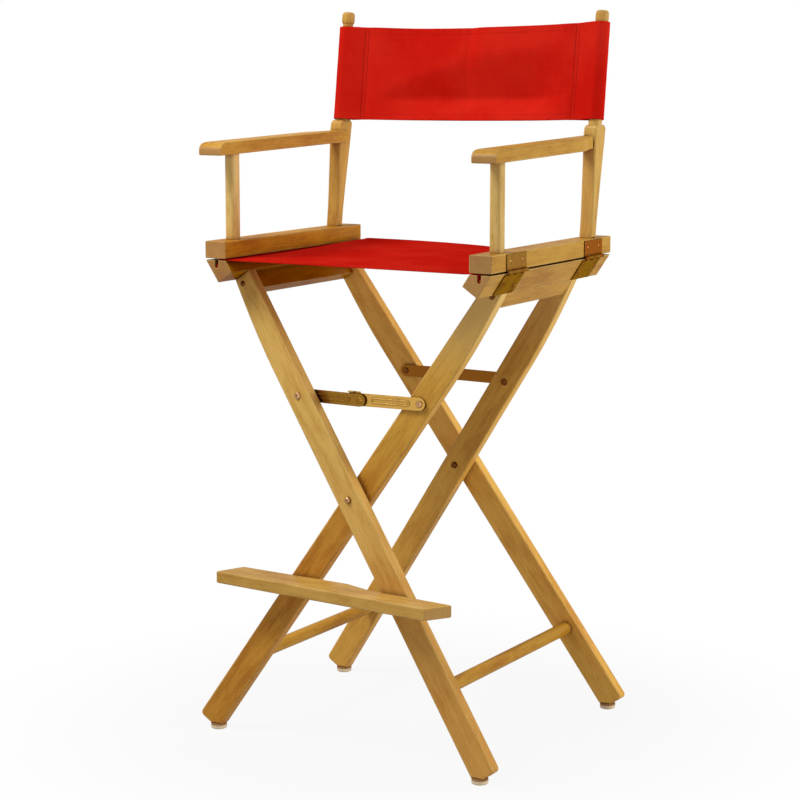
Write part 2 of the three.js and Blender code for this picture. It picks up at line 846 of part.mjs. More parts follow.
// The armrest's outline from above: a straight front, an outer side that tapers in to the back
// post, and a tongue that seats in the post's rebate.
function armrestPlan() {
  const outer = -armrestMiddle - armrestWidth / 2;
  const inner = -armrestInnerX();
  const postOuter = -backPostX - backPostThickness / 2 + 3.6;
  const shoulderY = backPostMiddleY(armrestBottom) - 17.6 - gap;
  const taper = [];
  const steps = 8;
  for (let i = 0; i <= steps; i += 1) {
    const along = i / steps;
    const blend = (1 - Math.cos(along * Math.PI)) / 2;
    const y = armrestTaperStart + (shoulderY - armrestTaperStart) * along;
    taper.push(point2(outer + (postOuter - outer) * blend, y));
  }
  return [
    point2(inner, armrestFront), point2(inner, armrestEnd), point2(-tongueX(), armrestEnd),
    point2(-tongueX(), shoulderY), ...taper.reverse(), point2(outer, armrestFront),
  ];
}

// The long edges are rounded, more on top than underneath.
function armrestBlank() {
  const plan = armrestPlan();
  const level = (distance, z) => inset(plan, distance).map((p) => new THREE.Vector3(p.x, p.y, z));
  const top = armrestBottom + armrestThickness;
  return loft([
    level(1.2, armrestBottom), level(0, armrestBottom + 1.2), level(0, top - 3.2),
    level(0.9, top - 0.9), level(3.2, top),
  ], inset(plan, 3.2));
}

function armrestSide() {
  const top = armrestBottom + armrestThickness + 1;
  const nose = 20;
  const drop = 12;
  const front = [];
  for (let i = 0; i <= 8; i += 1) {
    const angle = (i / 8) * (Math.PI / 2);
    const y = armrestFront + nose - nose * Math.sin(angle);
    front.push(point2(y, top - 1 - drop + drop * Math.cos(angle)));
  }
  return [point2(armrestFront, armrestBottom - 1), point2(armrestEnd + 1, armrestBottom - 1),
    point2(armrestEnd + 1, top), point2(armrestFront + nose + 3, top), ...front];
}

function armrest() {
  return raised(common(armrestBlank(), alongX(armrestSide(), -beyond, 0)));
}

// The rebate in the back post that the armrest's tongue seats in.
function armrestRoom() {
  const room = box(
    -tongueX() - gap, 0, 60, armrestEnd + gap,
    armrestBottom - gap, armrestBottom + armrestThickness + gap);
  return raised(room);
}

addToBothSides("arm_rail", armRail(), wood);
addToBothSides("front_post", frontPost(), wood);
addToBothSides("back_post", backPost(), wood);
addToBothSides("armrest", armrest(), wood);

// ---- Hinges ----
function barrel(y0, y1) {
  const start = new THREE.Vector3(-hingePinX, y0, hingePinHeight);
  return rod(start, alongDepth, y1 - y0, hingeBarrelRadius, 12);
}

function segmentSpan(index) {
  const length = hingeWidth / hingeSegments;
  const start = -hingeWidth / 2 + index * length;
  return [start + gap / 2, start + length - gap / 2];
}

// Upper leaf: a plate on the arm rail's outer face with three barrels and the pin.
function upperLeaf() {
  const wall = -armRailMiddle - armRailWidth / 2 - gap;
  const plateTop = armRailBottom + armRailHeight - 1;
  const plateBottom = hingePinHeight + hingeBarrelRadius + 0.5;
  const pieces = [box(wall - hingePlate, wall, -hingeWidth / 2, hingeWidth / 2, plateBottom, plateTop)];
  for (const index of [0, 2, 4]) {
    const [start, end] = segmentSpan(index);
    pieces.push(barrel(start, end));
    pieces.push(box(wall - hingePlate, wall, start, end, hingePinHeight + 1.8, plateBottom + 1));
  }
  const pinStart = new THREE.Vector3(-hingePinX, -hingeWidth / 2 - 0.6, hingePinHeight);
  pieces.push(rod(pinStart, alongDepth, hingeWidth + 1.2, hingePinRadius, 8));
  const across = new THREE.Vector3(-1, 0, 0);
  for (const y of [-hingeScrewY, hingeScrewY]) {
    pieces.push(screwHead(new THREE.Vector3(wall - hingePlate + 0.5, y, plateTop - 11), across));
  }
  return join(...pieces);
}

function screwHead(place, direction) {
  return turned([[0, 0], [3.4, 0], [3.4, 0.7], [2.2, 1.4], [0, 1.6]], place, direction, 10);
}

// Lower leaf: a plate down the seat rail's sloping outer face with two barrels on the pin.
function lowerLeaf() {
  const wall = railOuterW - gap;
  const top = railTopQ(railOuterW) + 3.4;
  const bottom = railBottomQ - 1.5;
  const plate = frameBlock(top, bottom, wall - hingePlate, wall, -hingeWidth / 2, hingeWidth / 2);
  const pieces = [plate];
  for (const index of [1, 3]) {
    const [start, end] = segmentSpan(index);
    pieces.push(barrel(start, end));
    pieces.push(frameBlock(top - 5.6, top + 1, wall - hingePlate, wall, start, end));
  }
  const outward = new THREE.Vector3(-cos, 0, -sin);
  for (const y of [-hingeScrewY, hingeScrewY]) {
    pieces.push(screwHead(frameAt(bottom - 14, wall - hingePlate + 0.5, y), outward));
  }
  const start = new THREE.Vector3(-hingePinX, -hingeWidth, hingePinHeight);
  return cut(join(...pieces), rod(start, alongDepth, 2 * hingeWidth, hingePinRadius + gap, 8));
}

function frameBlock(q0, q1, w0, w1, y0, y1) {
  const outline = [point2(q0, w0), point2(q1, w0), point2(q1, w1), point2(q0, w1)];
  return alongY(outline.map((p) => point2(frameX(p.x, p.y), frameZ(p.x, p.y))), y0, y1);
}

for (const [place, y] of [["front", hingeFrontY], ["rear", hingeRearY]]) {
  addToBothSides(`hinge_upper_${place}`, placed(upperLeaf(), 0, y, 0), brass);
  addToBothSides(`hinge_lower_${place}`, placed(lowerLeaf(), 0, y, 0), brass);
}

// ---- Canvas seat ----
function seatDowel() {
  const half = railHalfLength - seatDowelInset;
  const start = new THREE.Vector3(-slotX, -half, slotHeight);
  return rod(start, alongDepth, 2 * half, seatDowelRadius, 16);
}

addToBothSides("seat_dowel", seatDowel(), paleWood);

// The seat's section: a hem round each dowel, up out of the slot and flat between the rails.
function seatCanvas() {
  const depth = seatCanvasHalfDepth;
  const top = railTopHeight + seatRise;
  const hemRadius = slotRadius - gap;
  const hemEnd = new THREE.Vector3(-slotX, -depth, slotHeight);
  const hem = rod(hemEnd, alongDepth, 2 * depth, hemRadius, 20);
  const outside = -slotX + hemRadius - canvasThickness;
  const riser = box(outside, outside + canvasThickness, -depth, depth, slotHeight, top);
  const sheet = box(outside, -outside, -depth, depth, top - canvasThickness, top);
  const boreEnd = new THREE.Vector3(-slotX, -beyond, slotHeight);
  const bore = rod(boreEnd, alongDepth, 2 * beyond, seatDowelRadius + gap, 16);
  const edge = join(hem, riser);
  return cut(join(edge, sheet, mirrored(edge, "x")), bore, mirrored(bore, "x"));
}

add("seat_canvas", seatCanvas(), canvas, upper);

// ---- Canvas back ----
// The canvas sits a little higher on the right post than on the left.
function tilted(slope, lift) {
  return new THREE.Matrix4().set(1, 0, 0, 0, 0, 1, 0, 0, slope, 0, 1, lift, 0, 0, 0, 1);
}

// A flat panel between two sleeves, each an outline that closes from the dowel to the stitches.
function backCanvas() {
  const inner = backDowelRadius + sleeveEase;
  const outer = inner + canvasThickness;
  const mouth = 0.55;
  const sleeve = (radius, stitch, half) => {
    const open = mouth + Math.asin(half / radius);
    return [
      ...arcPoints(-backPostX, 0, radius, open, 2 * Math.PI - open, 22),
      point2(-stitch, -half), point2(-stitch, half),
    ];
  };
  const half = canvasThickness;
  const height = (backCanvasTop - backCanvasBottom) / Math.cos(backLean);
  const skin = alongZ(sleeve(outer, backSleeveStitch, half), 0, height);
  const hollow = alongZ(sleeve(inner, backSleeveStitch + 6, 0.3), -1, height + 1);
  const left = cut(skin, hollow);
  const panel = box(-backSleeveStitch - 1, backSleeveStitch + 1, -half / 2, half / 2, 0, height);
  const whole = join(left, mirrored(left, "x"), panel);
  whole.applyMatrix4(tilted(backCanvasTilt, backCanvasLift));
  whole.rotateX(-backLean);
  return drawnIn(placed(whole, 0, backPostMiddleY(backCanvasBottom), backCanvasBottom));
}

add("back_canvas", backCanvas(), canvas, upper);

// ---- Footrest ----
// The board's rear edge steps so that each half meets its own front leg, at the leg's edge.
function footrest() {
  const bottom = footrestTop - footrestThickness;
  const outerTouch = 71;
  const innerTouch = -122;
  const outerRear = -frontFace(outerLegY, outerTouch, bottom) - gap;
  const innerRear = -frontFace(innerLegY, -innerTouch, bottom) - gap;
  const rightRear = (x) => outerRear - 0.12 * (x - outerTouch);
  const leftRear = (x) => innerRear - 0.07 * (x - innerTouch);
  const plan = [
    point2(-231, leftRear(-205) - 47.5), point2(175, rightRear(200) - 39.5),
    point2(200, rightRear(200)), point2(44, rightRear(44)), point2(-4, leftRear(-4)),
    point2(-211, leftRear(-211)),
  ];
  const ease = 1.5;
  const inner = inset(plan, ease);
  const level = (outline, z) => outline.map((p) => new THREE.Vector3(p.x, p.y, z));
  const blank = loft([
    level(inner, bottom), level(plan, bottom + ease),
    level(plan, footrestTop - ease), level(inner, footrestTop),
  ], inner);
  return cut(blank, ...pegPlaces.map(pegPocket));
}

// Each peg stands in a pocket in the board and slides into a hole in the front right leg.
function pegPocket(x) {
  const start = new THREE.Vector3(x, -faceAtPeg(x) - pegProud - gap, pegHeight);
  return rod(start, alongDepth, drillReach, smallHoleRadius);
}

function footrestPeg(x) {
  const start = new THREE.Vector3(x, -faceAtPeg(x) - pegProud, pegHeight);
  return rod(start, alongDepth, pegProud + pegDepth - 2 * gap, pegRadius);
}

add("footrest_board", footrest(), wood);
pegPlaces.forEach((x, i) => add(`footrest_peg_${i + 1}`, footrestPeg(x), steel));

export default chair;
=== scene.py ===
import json
import math

import bmesh
import bpy
import numpy as np
from bpy.props import FloatProperty, FloatVectorProperty, PointerProperty
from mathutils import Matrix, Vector, noise


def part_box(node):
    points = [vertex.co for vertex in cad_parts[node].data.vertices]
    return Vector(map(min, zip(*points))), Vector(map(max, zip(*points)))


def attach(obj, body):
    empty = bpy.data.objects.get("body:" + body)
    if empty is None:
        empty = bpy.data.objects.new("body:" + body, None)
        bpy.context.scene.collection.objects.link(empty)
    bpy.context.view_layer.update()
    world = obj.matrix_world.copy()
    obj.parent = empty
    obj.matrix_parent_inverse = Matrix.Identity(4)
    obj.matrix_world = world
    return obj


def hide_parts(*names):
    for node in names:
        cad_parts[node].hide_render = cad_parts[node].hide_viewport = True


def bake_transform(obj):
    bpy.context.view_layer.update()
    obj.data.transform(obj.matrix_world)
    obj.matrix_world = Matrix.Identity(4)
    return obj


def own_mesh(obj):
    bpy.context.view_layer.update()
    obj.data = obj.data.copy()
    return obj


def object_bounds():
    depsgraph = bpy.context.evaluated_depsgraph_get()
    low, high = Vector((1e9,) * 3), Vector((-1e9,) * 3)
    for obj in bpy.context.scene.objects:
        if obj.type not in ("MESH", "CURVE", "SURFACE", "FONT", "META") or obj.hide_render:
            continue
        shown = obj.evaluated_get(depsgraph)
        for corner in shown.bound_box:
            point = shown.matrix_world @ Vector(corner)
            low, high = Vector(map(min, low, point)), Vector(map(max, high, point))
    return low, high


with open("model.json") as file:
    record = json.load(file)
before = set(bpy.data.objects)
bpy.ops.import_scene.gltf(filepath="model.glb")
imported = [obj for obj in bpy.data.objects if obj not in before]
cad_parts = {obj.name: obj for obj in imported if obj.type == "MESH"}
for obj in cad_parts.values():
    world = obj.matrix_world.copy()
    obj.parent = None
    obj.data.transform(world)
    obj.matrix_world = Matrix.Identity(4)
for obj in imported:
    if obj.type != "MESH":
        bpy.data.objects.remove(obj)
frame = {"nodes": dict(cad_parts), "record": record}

bl_info = {
    "name": "Folding chair finishes",
    "version": (1, 0, 0),
    "blender": (4, 5, 0),
    "location": "3D View > Sidebar > Chair",
    "description": "Wood, metal and canvas for a tall folding director's chair",
    "category": "Add Mesh",
}

CAD_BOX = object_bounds()
UP = Vector((0, 0, 1))
SMOOTH_BELOW = math.radians(28)  # faces of the solids that meet at less than this are shaded smooth
RECESS_REACH = 0.0033            # from the middle of a screw's head to the tip of its cross recess


def linear(value):
    """Blender's linear light for one channel of a colour, given as a 0 to 255 screen value."""
    share = value / 255
    return share / 12.92 if share <= 0.04045 else ((share + 0.055) / 1.055) ** 2.4


def colour(name, description, rgb):
    light = [linear(value) for value in rgb]
    return FloatVectorProperty(
        name=name, description=description, default=light, subtype="COLOR", min=0, max=1)


def number(name, description, default, **kind):
    return FloatProperty(name=name, description=description, default=default, **kind)


def length(name, description, metres):
    return number(name, description, metres, min=0, unit="LENGTH", precision=5)


def factor(name, description, share):
    return number(name, description, share, min=0, max=1, subtype="FACTOR")


def power(name, description, watts):
    return number(name, description, watts, min=0, unit="POWER")


# ---- Settings ----
class ChairWoodSettings(bpy.types.PropertyGroup):
    light: colour("Honey light", "Early wood of the honey-coloured pieces", (215, 163, 66))
    dark: colour("Honey dark", "Late wood of the honey-coloured pieces", (172, 110, 30))
    pale_light: colour("Pale light", "Early wood of the paler pieces", (226, 192, 118))
    pale_dark: colour("Pale dark", "Late wood of the paler pieces", (190, 144, 66))
    end_grain: colour("End grain", "Where a piece is cut across its grain", (188, 140, 92))
    # The colour the legs are made browner with towards the floor.
    foot: colour("Foot stain", "How the wood is stained towards the feet", (232, 198, 164))
    # Painted shade where pieces meet and in crevices, with dirt and old varnish.
    joint_shade_and_dirt: colour("Gathered varnish", "Old varnish and dirt where pieces meet", (104, 38, 12))
    rings: number("Growth rings", "Growth rings in a metre of wood", 230, min=20, max=900)
    eased: length("Eased edge", "Radius the sharp edges are sanded to", 0.0022)
    # Edges are painted pale: a painted highlight, with rubbing.
    wear: factor("Edge wear", "How far the varnish is rubbed pale along the edges", 0.85)
    # How strongly that painted shade, with dirt and old varnish, is laid where pieces meet.
    crevice: factor("Crevice tone", "How far the varnish has darkened where pieces meet", 0.6)


class ChairCanvasSettings(bpy.types.PropertyGroup):
    cloth: colour("Canvas", "The back canvas", (217, 27, 17))
    faded: colour("Faded canvas", "Where the canvas has faded or been rubbed", (229, 42, 28))
    seat_tone: factor("Seat tone", "How light the seat's canvas is against the back's", 0.92)
    thread: colour("Thread", "The hem stitching", (212, 21, 14))
    seam_thread: colour("Seam thread", "The stitching along the sleeves", (74, 6, 4))
    pitch: length("Thread pitch", "Distance between two threads of the weave", 0.0009)
    thickness: length("Cloth thickness", "Thickness of one layer of canvas", 0.0011)
    thread_radius: length("Thread radius", "Half the thickness of the sewing thread", 0.00042)
    stitch: length("Stitch", "Length of one stitch", 0.0034)
    stitch_gap: length("Stitch gap", "Gap between two stitches", 0.0012)
    hem: length("Hem", "Width of the turned hem along the free edges", 0.012)
    seat_crown: length("Seat crown", "How far the rear edge of the seat arches above the rails", 0.0055)
    back_sag: length("Back sag", "How far the middle of the back panel hangs", 0.0027)
    back_bow: length("Back bow", "How far the middle of the back panel bows to the rear", 0.009)
    ripple: length("Ripples", "Height of the soft ripples in the canvas", 0.0011)
    fold: length("Fold", "Depth of the slack valley in the back panel", 0.025)
    outer_seam: length("Outer seam", "Sleeve seam nearer the post, from the chair's middle", 0.200)
    inner_seam: length("Inner seam", "Sleeve seam nearer the middle", 0.1935)


class ChairMetalSettings(bpy.types.PropertyGroup):
    hinge: colour("Hinges", "The brown varnished hinges", (144, 107, 60))
    # The right front links' lighter brass is a painted highlight.
    brass: colour("Right stay links", "The brighter front links", (188, 147, 72))
    dull_brass: colour("Left stay links", "The duller front links", (142, 102, 36))
    reddish: colour("Reddish metal", "The rear hinges' upper leaves and the pegs", (148, 88, 50))
    sheen: colour("Sheen", "What the metals reflect at a slant", (204, 180, 140))
    copper: colour("Rear stays", "The browner stays at the rear", (128, 78, 24))
    # Also the painted shade in the brass's crevices, and the colour of the hinges' rims.
    tarnish_and_shade: colour("Tarnish", "The brass where it has dulled", (100, 58, 22))
    steel: colour("Plated screws", "The bolts and screws", (176, 136, 96))
    # Also the painted shade in the screws' crevices and cross recesses.
    dull_plating_and_shade: colour("Dull plating", "The plating where it has dulled", (98, 66, 40))
    glide: colour("Glides", "The plastic glides under the feet", (236, 214, 178))
    # Painted shade on the glides' tops under the legs, and the colour of their dusty patches.
    dust_and_top_shade: colour("Scuffs", "The glides above their worn rim", (150, 104, 58))


class ChairStageSettings(bpy.types.PropertyGroup):
    floor: colour("Floor", "The plain floor", (178, 176, 172))
    key: power("Key lamp", "Power of the high front lamp", 76)
    fill: power("Fill lamp", "Power of the weak front lamp", 18)
    side: power("Side lamp", "Power of the lamp on the right", 66)
    sky: number("Sky", "Strength of the even light all round", 0.24, min=0)
    lens: number("Lens", "Focal length", 100.43, min=1, unit="CAMERA")
    turn: number("Turn", "How far the camera is turned to its left from straight on",
                 math.radians(30.33), subtype="ANGLE")
    dip: number("Dip", "How far the camera looks down", math.radians(9.02), subtype="ANGLE")


# ---- Node helpers ----
class Wire:
    """A value in a node tree. Arithmetic on it adds the nodes that work the result out."""

    def __init__(self, socket):
        self.socket = socket
        self.tree = socket.id_data

    def maths(self, operation, *others):
        return wire(self.tree, "ShaderNodeMath", enumerate((self, *others)), operation=operation)

    def __add__(self, other):
        return self.maths("ADD", other)

    def __sub__(self, other):
        return self.maths("SUBTRACT", other)

    def __rsub__(self, other):
        return self * -1 + other

    def __mul__(self, other):
        return self.maths("MULTIPLY", other)

    def vector(self, operation, other, output=0):
        inputs = {0: self, 1: other}
        return wire(self.tree, "ShaderNodeVectorMath", inputs, output, operation=operation)

    def parts(self):
        """The X, Y and Z of a vector."""
        return [Wire(socket) for socket in node(self.tree, "ShaderNodeSeparateXYZ", {0: self}).outputs]


def connect(made, inputs):
    """Sets a node's inputs, by name or number, to constants or to the wires that feed them."""
    for key, value in dict(inputs).items():
        if isinstance(value, Wire):
            value.tree.links.new(value.socket, made.inputs[key])
        else:
            made.inputs[key].default_value = value


def node(tree, kind, inputs=(), **settings):
    made = tree.nodes.new(kind)
    for key, value in settings.items():
        setattr(made, key, value)
    connect(made, inputs)
    return made


def wire(tree, kind, inputs=(), output=0, **settings):
    """Adds a node and gives the wire from one of its outputs."""
    return Wire(node(tree, kind, inputs, **settings).outputs[output])


def combined(tree, *parts):
    return wire(tree, "ShaderNodeCombineXYZ", enumerate(parts))


def span(value, low, high, to_low=0.0, to_high=1.0):
    inputs = {0: value, 1: low, 2: high, 3: to_low, 4: to_high}
    return wire(value.tree, "ShaderNodeMapRange", inputs, interpolation_type="SMOOTHSTEP")


def cloudy(place, scale, detail=2.0, roughness=0.5):
    inputs = {"Vector": place, "Scale": scale, "Detail": detail, "Roughness": roughness}
    return wire(place.tree, "ShaderNodeTexNoise", inputs)


def mixed(share, first, second, blend="MIX"):
    inputs = {0: share, 6: first, 7: second}
    return wire(share.tree, "ShaderNodeMix", inputs, 2, data_type="RGBA", blend_type=blend)


def mapped(place, turn, move=(0.0, 0.0, 0.0)):
    return wire(place.tree, "ShaderNodeMapping", {"Vector": place, "Rotation": turn, "Location": move})


def bumped(height, normal, distance, strength=1.0):
    inputs = {"Height": height, "Strength": strength, "Distance": distance}
    if normal:
        inputs["Normal"] = normal
    return wire(height.tree, "ShaderNodeBump", inputs)


def shaded(rgb, tone=1.0):
    """A colour made lighter or darker, as a socket takes it."""
    return (*(min(1.0, max(0.0, channel * tone)) for channel in rgb[:3]), 1.0)


# ---- Shared shader effects ----
def wood_grain(place, seed, rings):
    """Growth rings round an axis outside the board, with fine streaks, short flecks and soft mottle."""
    tree = place.tree
    shift = combined(tree, seed * 1.37, seed * 0.71, seed * 0.29)

    def stretched(squeeze):
        return place.vector("MULTIPLY", (1.0, 1.0, squeeze)).vector("ADD", shift)

    def seeded(factor, low, high):
        return (seed * factor).maths("SINE") * ((high - low) / 2) + (high + low) / 2

    heart = combined(tree, seeded(3.1, 0.03, 0.09), seeded(5.7, -0.07, 0.07), 0.0)
    radius = place.vector("MULTIPLY", (1.0, 1.0, 0.0)).vector("DISTANCE", heart, "Value")
    taper = place.parts()[2] * seeded(2.3, -0.03, 0.03)
    wobble = cloudy(stretched(0.16), 9.0)
    ring = ((radius + taper + wobble * 0.035) * rings).maths("FRACT")
    late = span(ring, 0.35, 0.93) * span(ring, 1.0, 0.93)
    streaks = cloudy(stretched(0.03), 430.0, 3.0, 0.6)
    broad = cloudy(stretched(0.3), 17.0)
    figure = cloudy(stretched(0.22), 75.0, 3.0, 0.6)
    flecks = span(cloudy(stretched(0.08), 1150.0, 1.0), 0.61, 0.72)
    dashes = span(cloudy(stretched(0.17), 340.0, 2.0, 0.6), 0.52, 0.66)
    tone = span(broad, 0.3, 0.7) * 0.36 + 0.24 + span(figure, 0.32, 0.68) * 0.28 - dashes * 0.10
    tone = tone + span(streaks, 0.25, 0.75) * 0.22 - late * 0.09 - flecks * 0.24
    return tone, streaks, streaks * 0.5 - flecks


def edge_rounding_and_marks(place, radius, patchiness):
    """Rounds the shading of sharp edges and marks them in patches, for painted highlights and rubbing."""
    rounded = wire(place.tree, "ShaderNodeBevel", {"Radius": radius}, samples=4)
    flat = wire(place.tree, "ShaderNodeNewGeometry", output="True Normal")
    edge = span(rounded.vector("DOT_PRODUCT", flat, "Value"), 0.995, 0.90)
    patches = span(cloudy(place, 42.0, 3.0, 0.6), 0.38, 0.62)
    return rounded, edge * (patches * patchiness + (1 - patchiness))


def canvas_weave(place, pitch):
    """A plain weave, one thread over and one under, with uneven threads."""
    counted = place.vector("DIVIDE", combined(place.tree, pitch, pitch, pitch))
    across, along, _ = counted.parts()

    def bulge(value):
        return (value * math.pi).maths("SINE").maths("ABSOLUTE").maths("SQRT")

    over = (across.maths("FLOOR") + along.maths("FLOOR")).maths("PINGPONG", 1.0)
    warp, weft = bulge(across), bulge(along)
    raised = warp * over + weft * (1 - over)
    threads = cloudy(counted.vector("MULTIPLY", (0.9, 0.02, 0.02)), 1.0, 1.0)
    picks = cloudy(counted.vector("MULTIPLY", (0.02, 0.9, 0.02)), 1.0, 1.0)
    return raised * (warp * weft * 0.6 + 0.4), (threads + picks) * 0.5, cloudy(place, 9.0, 4.0, 0.55)


def dulling(place, size, amount):
    """Patches where a surface has dulled or collected dust."""
    specks = cloudy(place, 900.0, 2.0, 0.6)
    low = 0.72 - amount * 0.4
    patches = span(cloudy(place, size, 5.0, 0.62), low, low + 0.22)
    return patches * (specks * 0.5 + 0.6), specks


def crevice(reach, clear, shut):
    """Marks where a surface is close to another: there it gets painted shade, with dirt and old varnish.
    """
    free = wire(reach.tree, "ShaderNodeAmbientOcclusion", {"Distance": reach}, "AO", samples=8)
    return [span(free, clear, shut)]


def driver_recess(place, reach):
    """A cross-shaped driver recess on a screw head. Place runs from the head's middle, Z outwards."""
    *across, outward = place.parts()
    first, second = (part.maths("ABSOLUTE").maths("DIVIDE", reach) for part in across)
    narrow, wide = first.maths("MINIMUM", second), first.maths("MAXIMUM", second)
    cross = span(narrow, 0.34, 0.22) * span(wide, 1.06, 0.94)
    return [cross * span(outward, -0.0002, 0.0004)]


# Each effect's node group: what builds it, and the names of its inputs and outputs.
EFFECTS = {
    "Wood grain": (wood_grain, ("Place", "Seed", "Rings"), ("Tone", "Streaks", "Height")),
    "Edge wear": (edge_rounding_and_marks, ("Place", "Radius", "Patchiness"), ("Normal", "Wear")),
    "Canvas weave": (canvas_weave, ("Place", "Pitch"), ("Height", "Slub", "Cloud")),
    "Dulling": (dulling, ("Place", "Size", "Amount"), ("Mask", "Fine")),
    "Crevice": (crevice, ("Reach", "Clear", "Shut"), ("Mask",)),
    "Driver recess": (driver_recess, ("Place", "Reach"), ("Mask",)),
}
VECTORS = ("Place", "Normal")  # the sockets that take or give a vector and not a value


def new_effect(name):
    build, inputs, outputs = EFFECTS[name]
    group = bpy.data.node_groups.new(name, "ShaderNodeTree")
    for direction, sockets in (("INPUT", inputs), ("OUTPUT", outputs)):
        for socket in sockets:
            kind = "NodeSocketVector" if socket in VECTORS else "NodeSocketFloat"
            group.interface.new_socket(name=socket, in_out=direction, socket_type=kind)
    given = group.nodes.new("NodeGroupInput").outputs
    made = build(*(Wire(given[socket]) for socket in inputs))
    node(group, "NodeGroupOutput", enumerate(made))
    return group


def effect(place, name, **inputs):
    """Adds a shared effect, whose group is built the first time. Gives its outputs by name."""
    group = bpy.data.node_groups.get(name) or new_effect(name)
    if "Place" in EFFECTS[name][1]:
        inputs["Place"] = place
    made = node(place.tree, "ShaderNodeGroup", inputs, node_tree=group)
    return {socket.name: Wire(socket) for socket in made.outputs}


# ---- Materials ----
def new_material(name):
    """A material, its shader and the place on the piece."""
    material = bpy.data.materials.new(name)
    material.use_nodes = True
    tree = material.node_tree
    return material, tree.nodes["Principled BSDF"], wire(tree, "ShaderNodeTexCoord", output="Object")


def long_axis(piece):
    """The direction a piece is longest in, from its own vertices."""
    points = np.array([vertex.co for vertex in piece.data.vertices])
    spread = np.linalg.eigh(np.cov((points - points.mean(0)).T))[1][:, 2]
    return Vector(spread if spread[2] + spread[1] > 0 else -spread)


def wood_material(piece, seed, pale, tone, ends, settings):
    """Varnished wood whose grain runs along the piece. pale is 0 for honey and 1 for pale wood, tone
    makes either lighter or darker, and ends is how far the piece is made browner towards the floor
    and how far it is painted paler just below the seat, a painted highlight."""
    material, shader, place = new_material("wood_" + piece.name)
    axis = long_axis(piece)
    light = shaded(Vector(settings.light).lerp(Vector(settings.pale_light), pale), tone)
    dark = shaded(Vector(settings.dark).lerp(Vector(settings.pale_dark), pale), tone)
    turned = mapped(place, axis.rotation_difference(UP).to_euler())
    grain = effect(turned, "Wood grain", Seed=seed, Rings=settings.rings)
    edges = effect(place, "Edge wear", Radius=settings.eased, Patchiness=0.6)
    dust = effect(place, "Dulling", Size=22.0, Amount=0.25)
    # This mask lays painted shade, with dirt and old varnish, where pieces meet.
    corners = effect(place, "Crevice", Reach=0.016, Clear=0.85, Shut=0.30)
    facing = wire(place.tree, "ShaderNodeTexCoord", output="Normal")
    cut_end = facing.vector("DOT_PRODUCT", axis, "Value").maths("ABSOLUTE")
    height = place.parts()[2]
    look = mixed(span(grain["Tone"], 0.0, 0.95), dark, light)
    look = mixed(span(height, 0.50, 0.15, 0.0, ends[0]), look, shaded(settings.foot), "MULTIPLY")
    for share, rgb in (
            # painted highlight: the inner legs paler just below the seat
            (span(height, 0.57, 0.72, 0.0, ends[1]), shaded(settings.pale_light, 1.2)),
            (span(cut_end, 0.80, 0.93, 0.0, 0.7), shaded(settings.end_grain, tone)),
            (dust["Mask"] * 0.14, shaded(dark, 0.42)),
            # painted shade, with dirt and old varnish, where pieces meet
            (corners["Mask"] * settings.crevice, shaded(settings.joint_shade_and_dirt)),
            # edges painted pale: a painted highlight, with rubbing
            (edges["Wear"] * settings.wear, shaded(settings.pale_light, 1.1))):
        look = mixed(share, look, rgb)
    connect(shader, {
        "Base Color": look, "Roughness": grain["Streaks"] * 0.16 + 0.36,
        "Normal": bumped(grain["Height"], edges["Normal"], 0.00012, 0.6),
        "Specular IOR Level": 0.0, "Coat Weight": 0.26, "Coat Roughness": 0.3})
    return material


def metal_material(name, bright, dull, amount, size, settings, rim=None, head=None):
    """A plated or solid metal with dulled patches and painted shade in its crevices. Its edges are
    painted bright, a painted highlight with rubbing, or darkened in the rim colour. head is the middle
    of a screw's head and the way it faces, and gives it a cross recess, painted dark as its shade."""
    material, shader, place = new_material(name)
    edges = effect(place, "Edge wear", Radius=0.0016 if rim else 0.0004, Patchiness=0.3)
    dust = effect(place, "Dulling", Size=size, Amount=amount)
    # The AO mask below gives painted shade in crevices and recesses, which takes the darker colour with
    # the dulled patches.
    corners = effect(place, "Crevice", Reach=0.005, Clear=0.97, Shut=0.62)
    dark = (dust["Mask"] * 0.8).maths("MAXIMUM", corners["Mask"])
    look = mixed(dark, shaded(bright), shaded(dull))
    # Edges painted bright: a painted highlight, with rubbing. On the hinges they are darkened in the rim
    # colour instead.
    share, edge = (0.75, shaded(rim, 0.8)) if rim else (0.3, shaded(bright, 1.3))
    look = mixed(edges["Wear"] * share, look, edge)
    normal = bumped(dust["Fine"], edges["Normal"], 0.00004, 0.3 if head else 0.25)
    if head:
        middle, outward = head
        turn = outward.rotation_difference(UP)
        turned = mapped(place, turn.to_euler(), -(turn @ middle))
        recess = effect(turned, "Driver recess", Reach=RECESS_REACH)["Mask"]
        # The cross recess is painted dark: the shade inside it.
        look = mixed(recess * 0.85, look, shaded(settings.dull_plating_and_shade, 0.22))
        normal = bumped(1 - recess, normal, 0.0006)
    connect(shader, {
        "Base Color": look, "Roughness": dust["Mask"] * 0.2 + 0.3, "Metallic": 1.0,
        "Specular Tint": shaded(settings.sheen), "Normal": normal})
    return material


def glide_material(settings):
    material, shader, place = new_material("glide_plastic")
    edges = effect(place, "Edge wear", Radius=0.0006, Patchiness=0.4)
    dust = effect(place, "Dulling", Size=120.0, Amount=0.45)
    # The glide is painted darker above its rim, the leg's shade on its top, and in dusty patches.
    above_rim = span(place.parts()[2], 0.0055, 0.0072)
    dust_and_shade_mask = (dust["Mask"] * 0.5).maths("MAXIMUM", above_rim)
    connect(shader, {
        "Base Color": mixed(dust_and_shade_mask, shaded(settings.glide), shaded(settings.dust_and_top_shade)),
        "Roughness": dust_and_shade_mask * 0.3 + 0.45,
        "Normal": bumped(dust["Fine"], edges["Normal"], 0.0001, 0.5)})
    return material


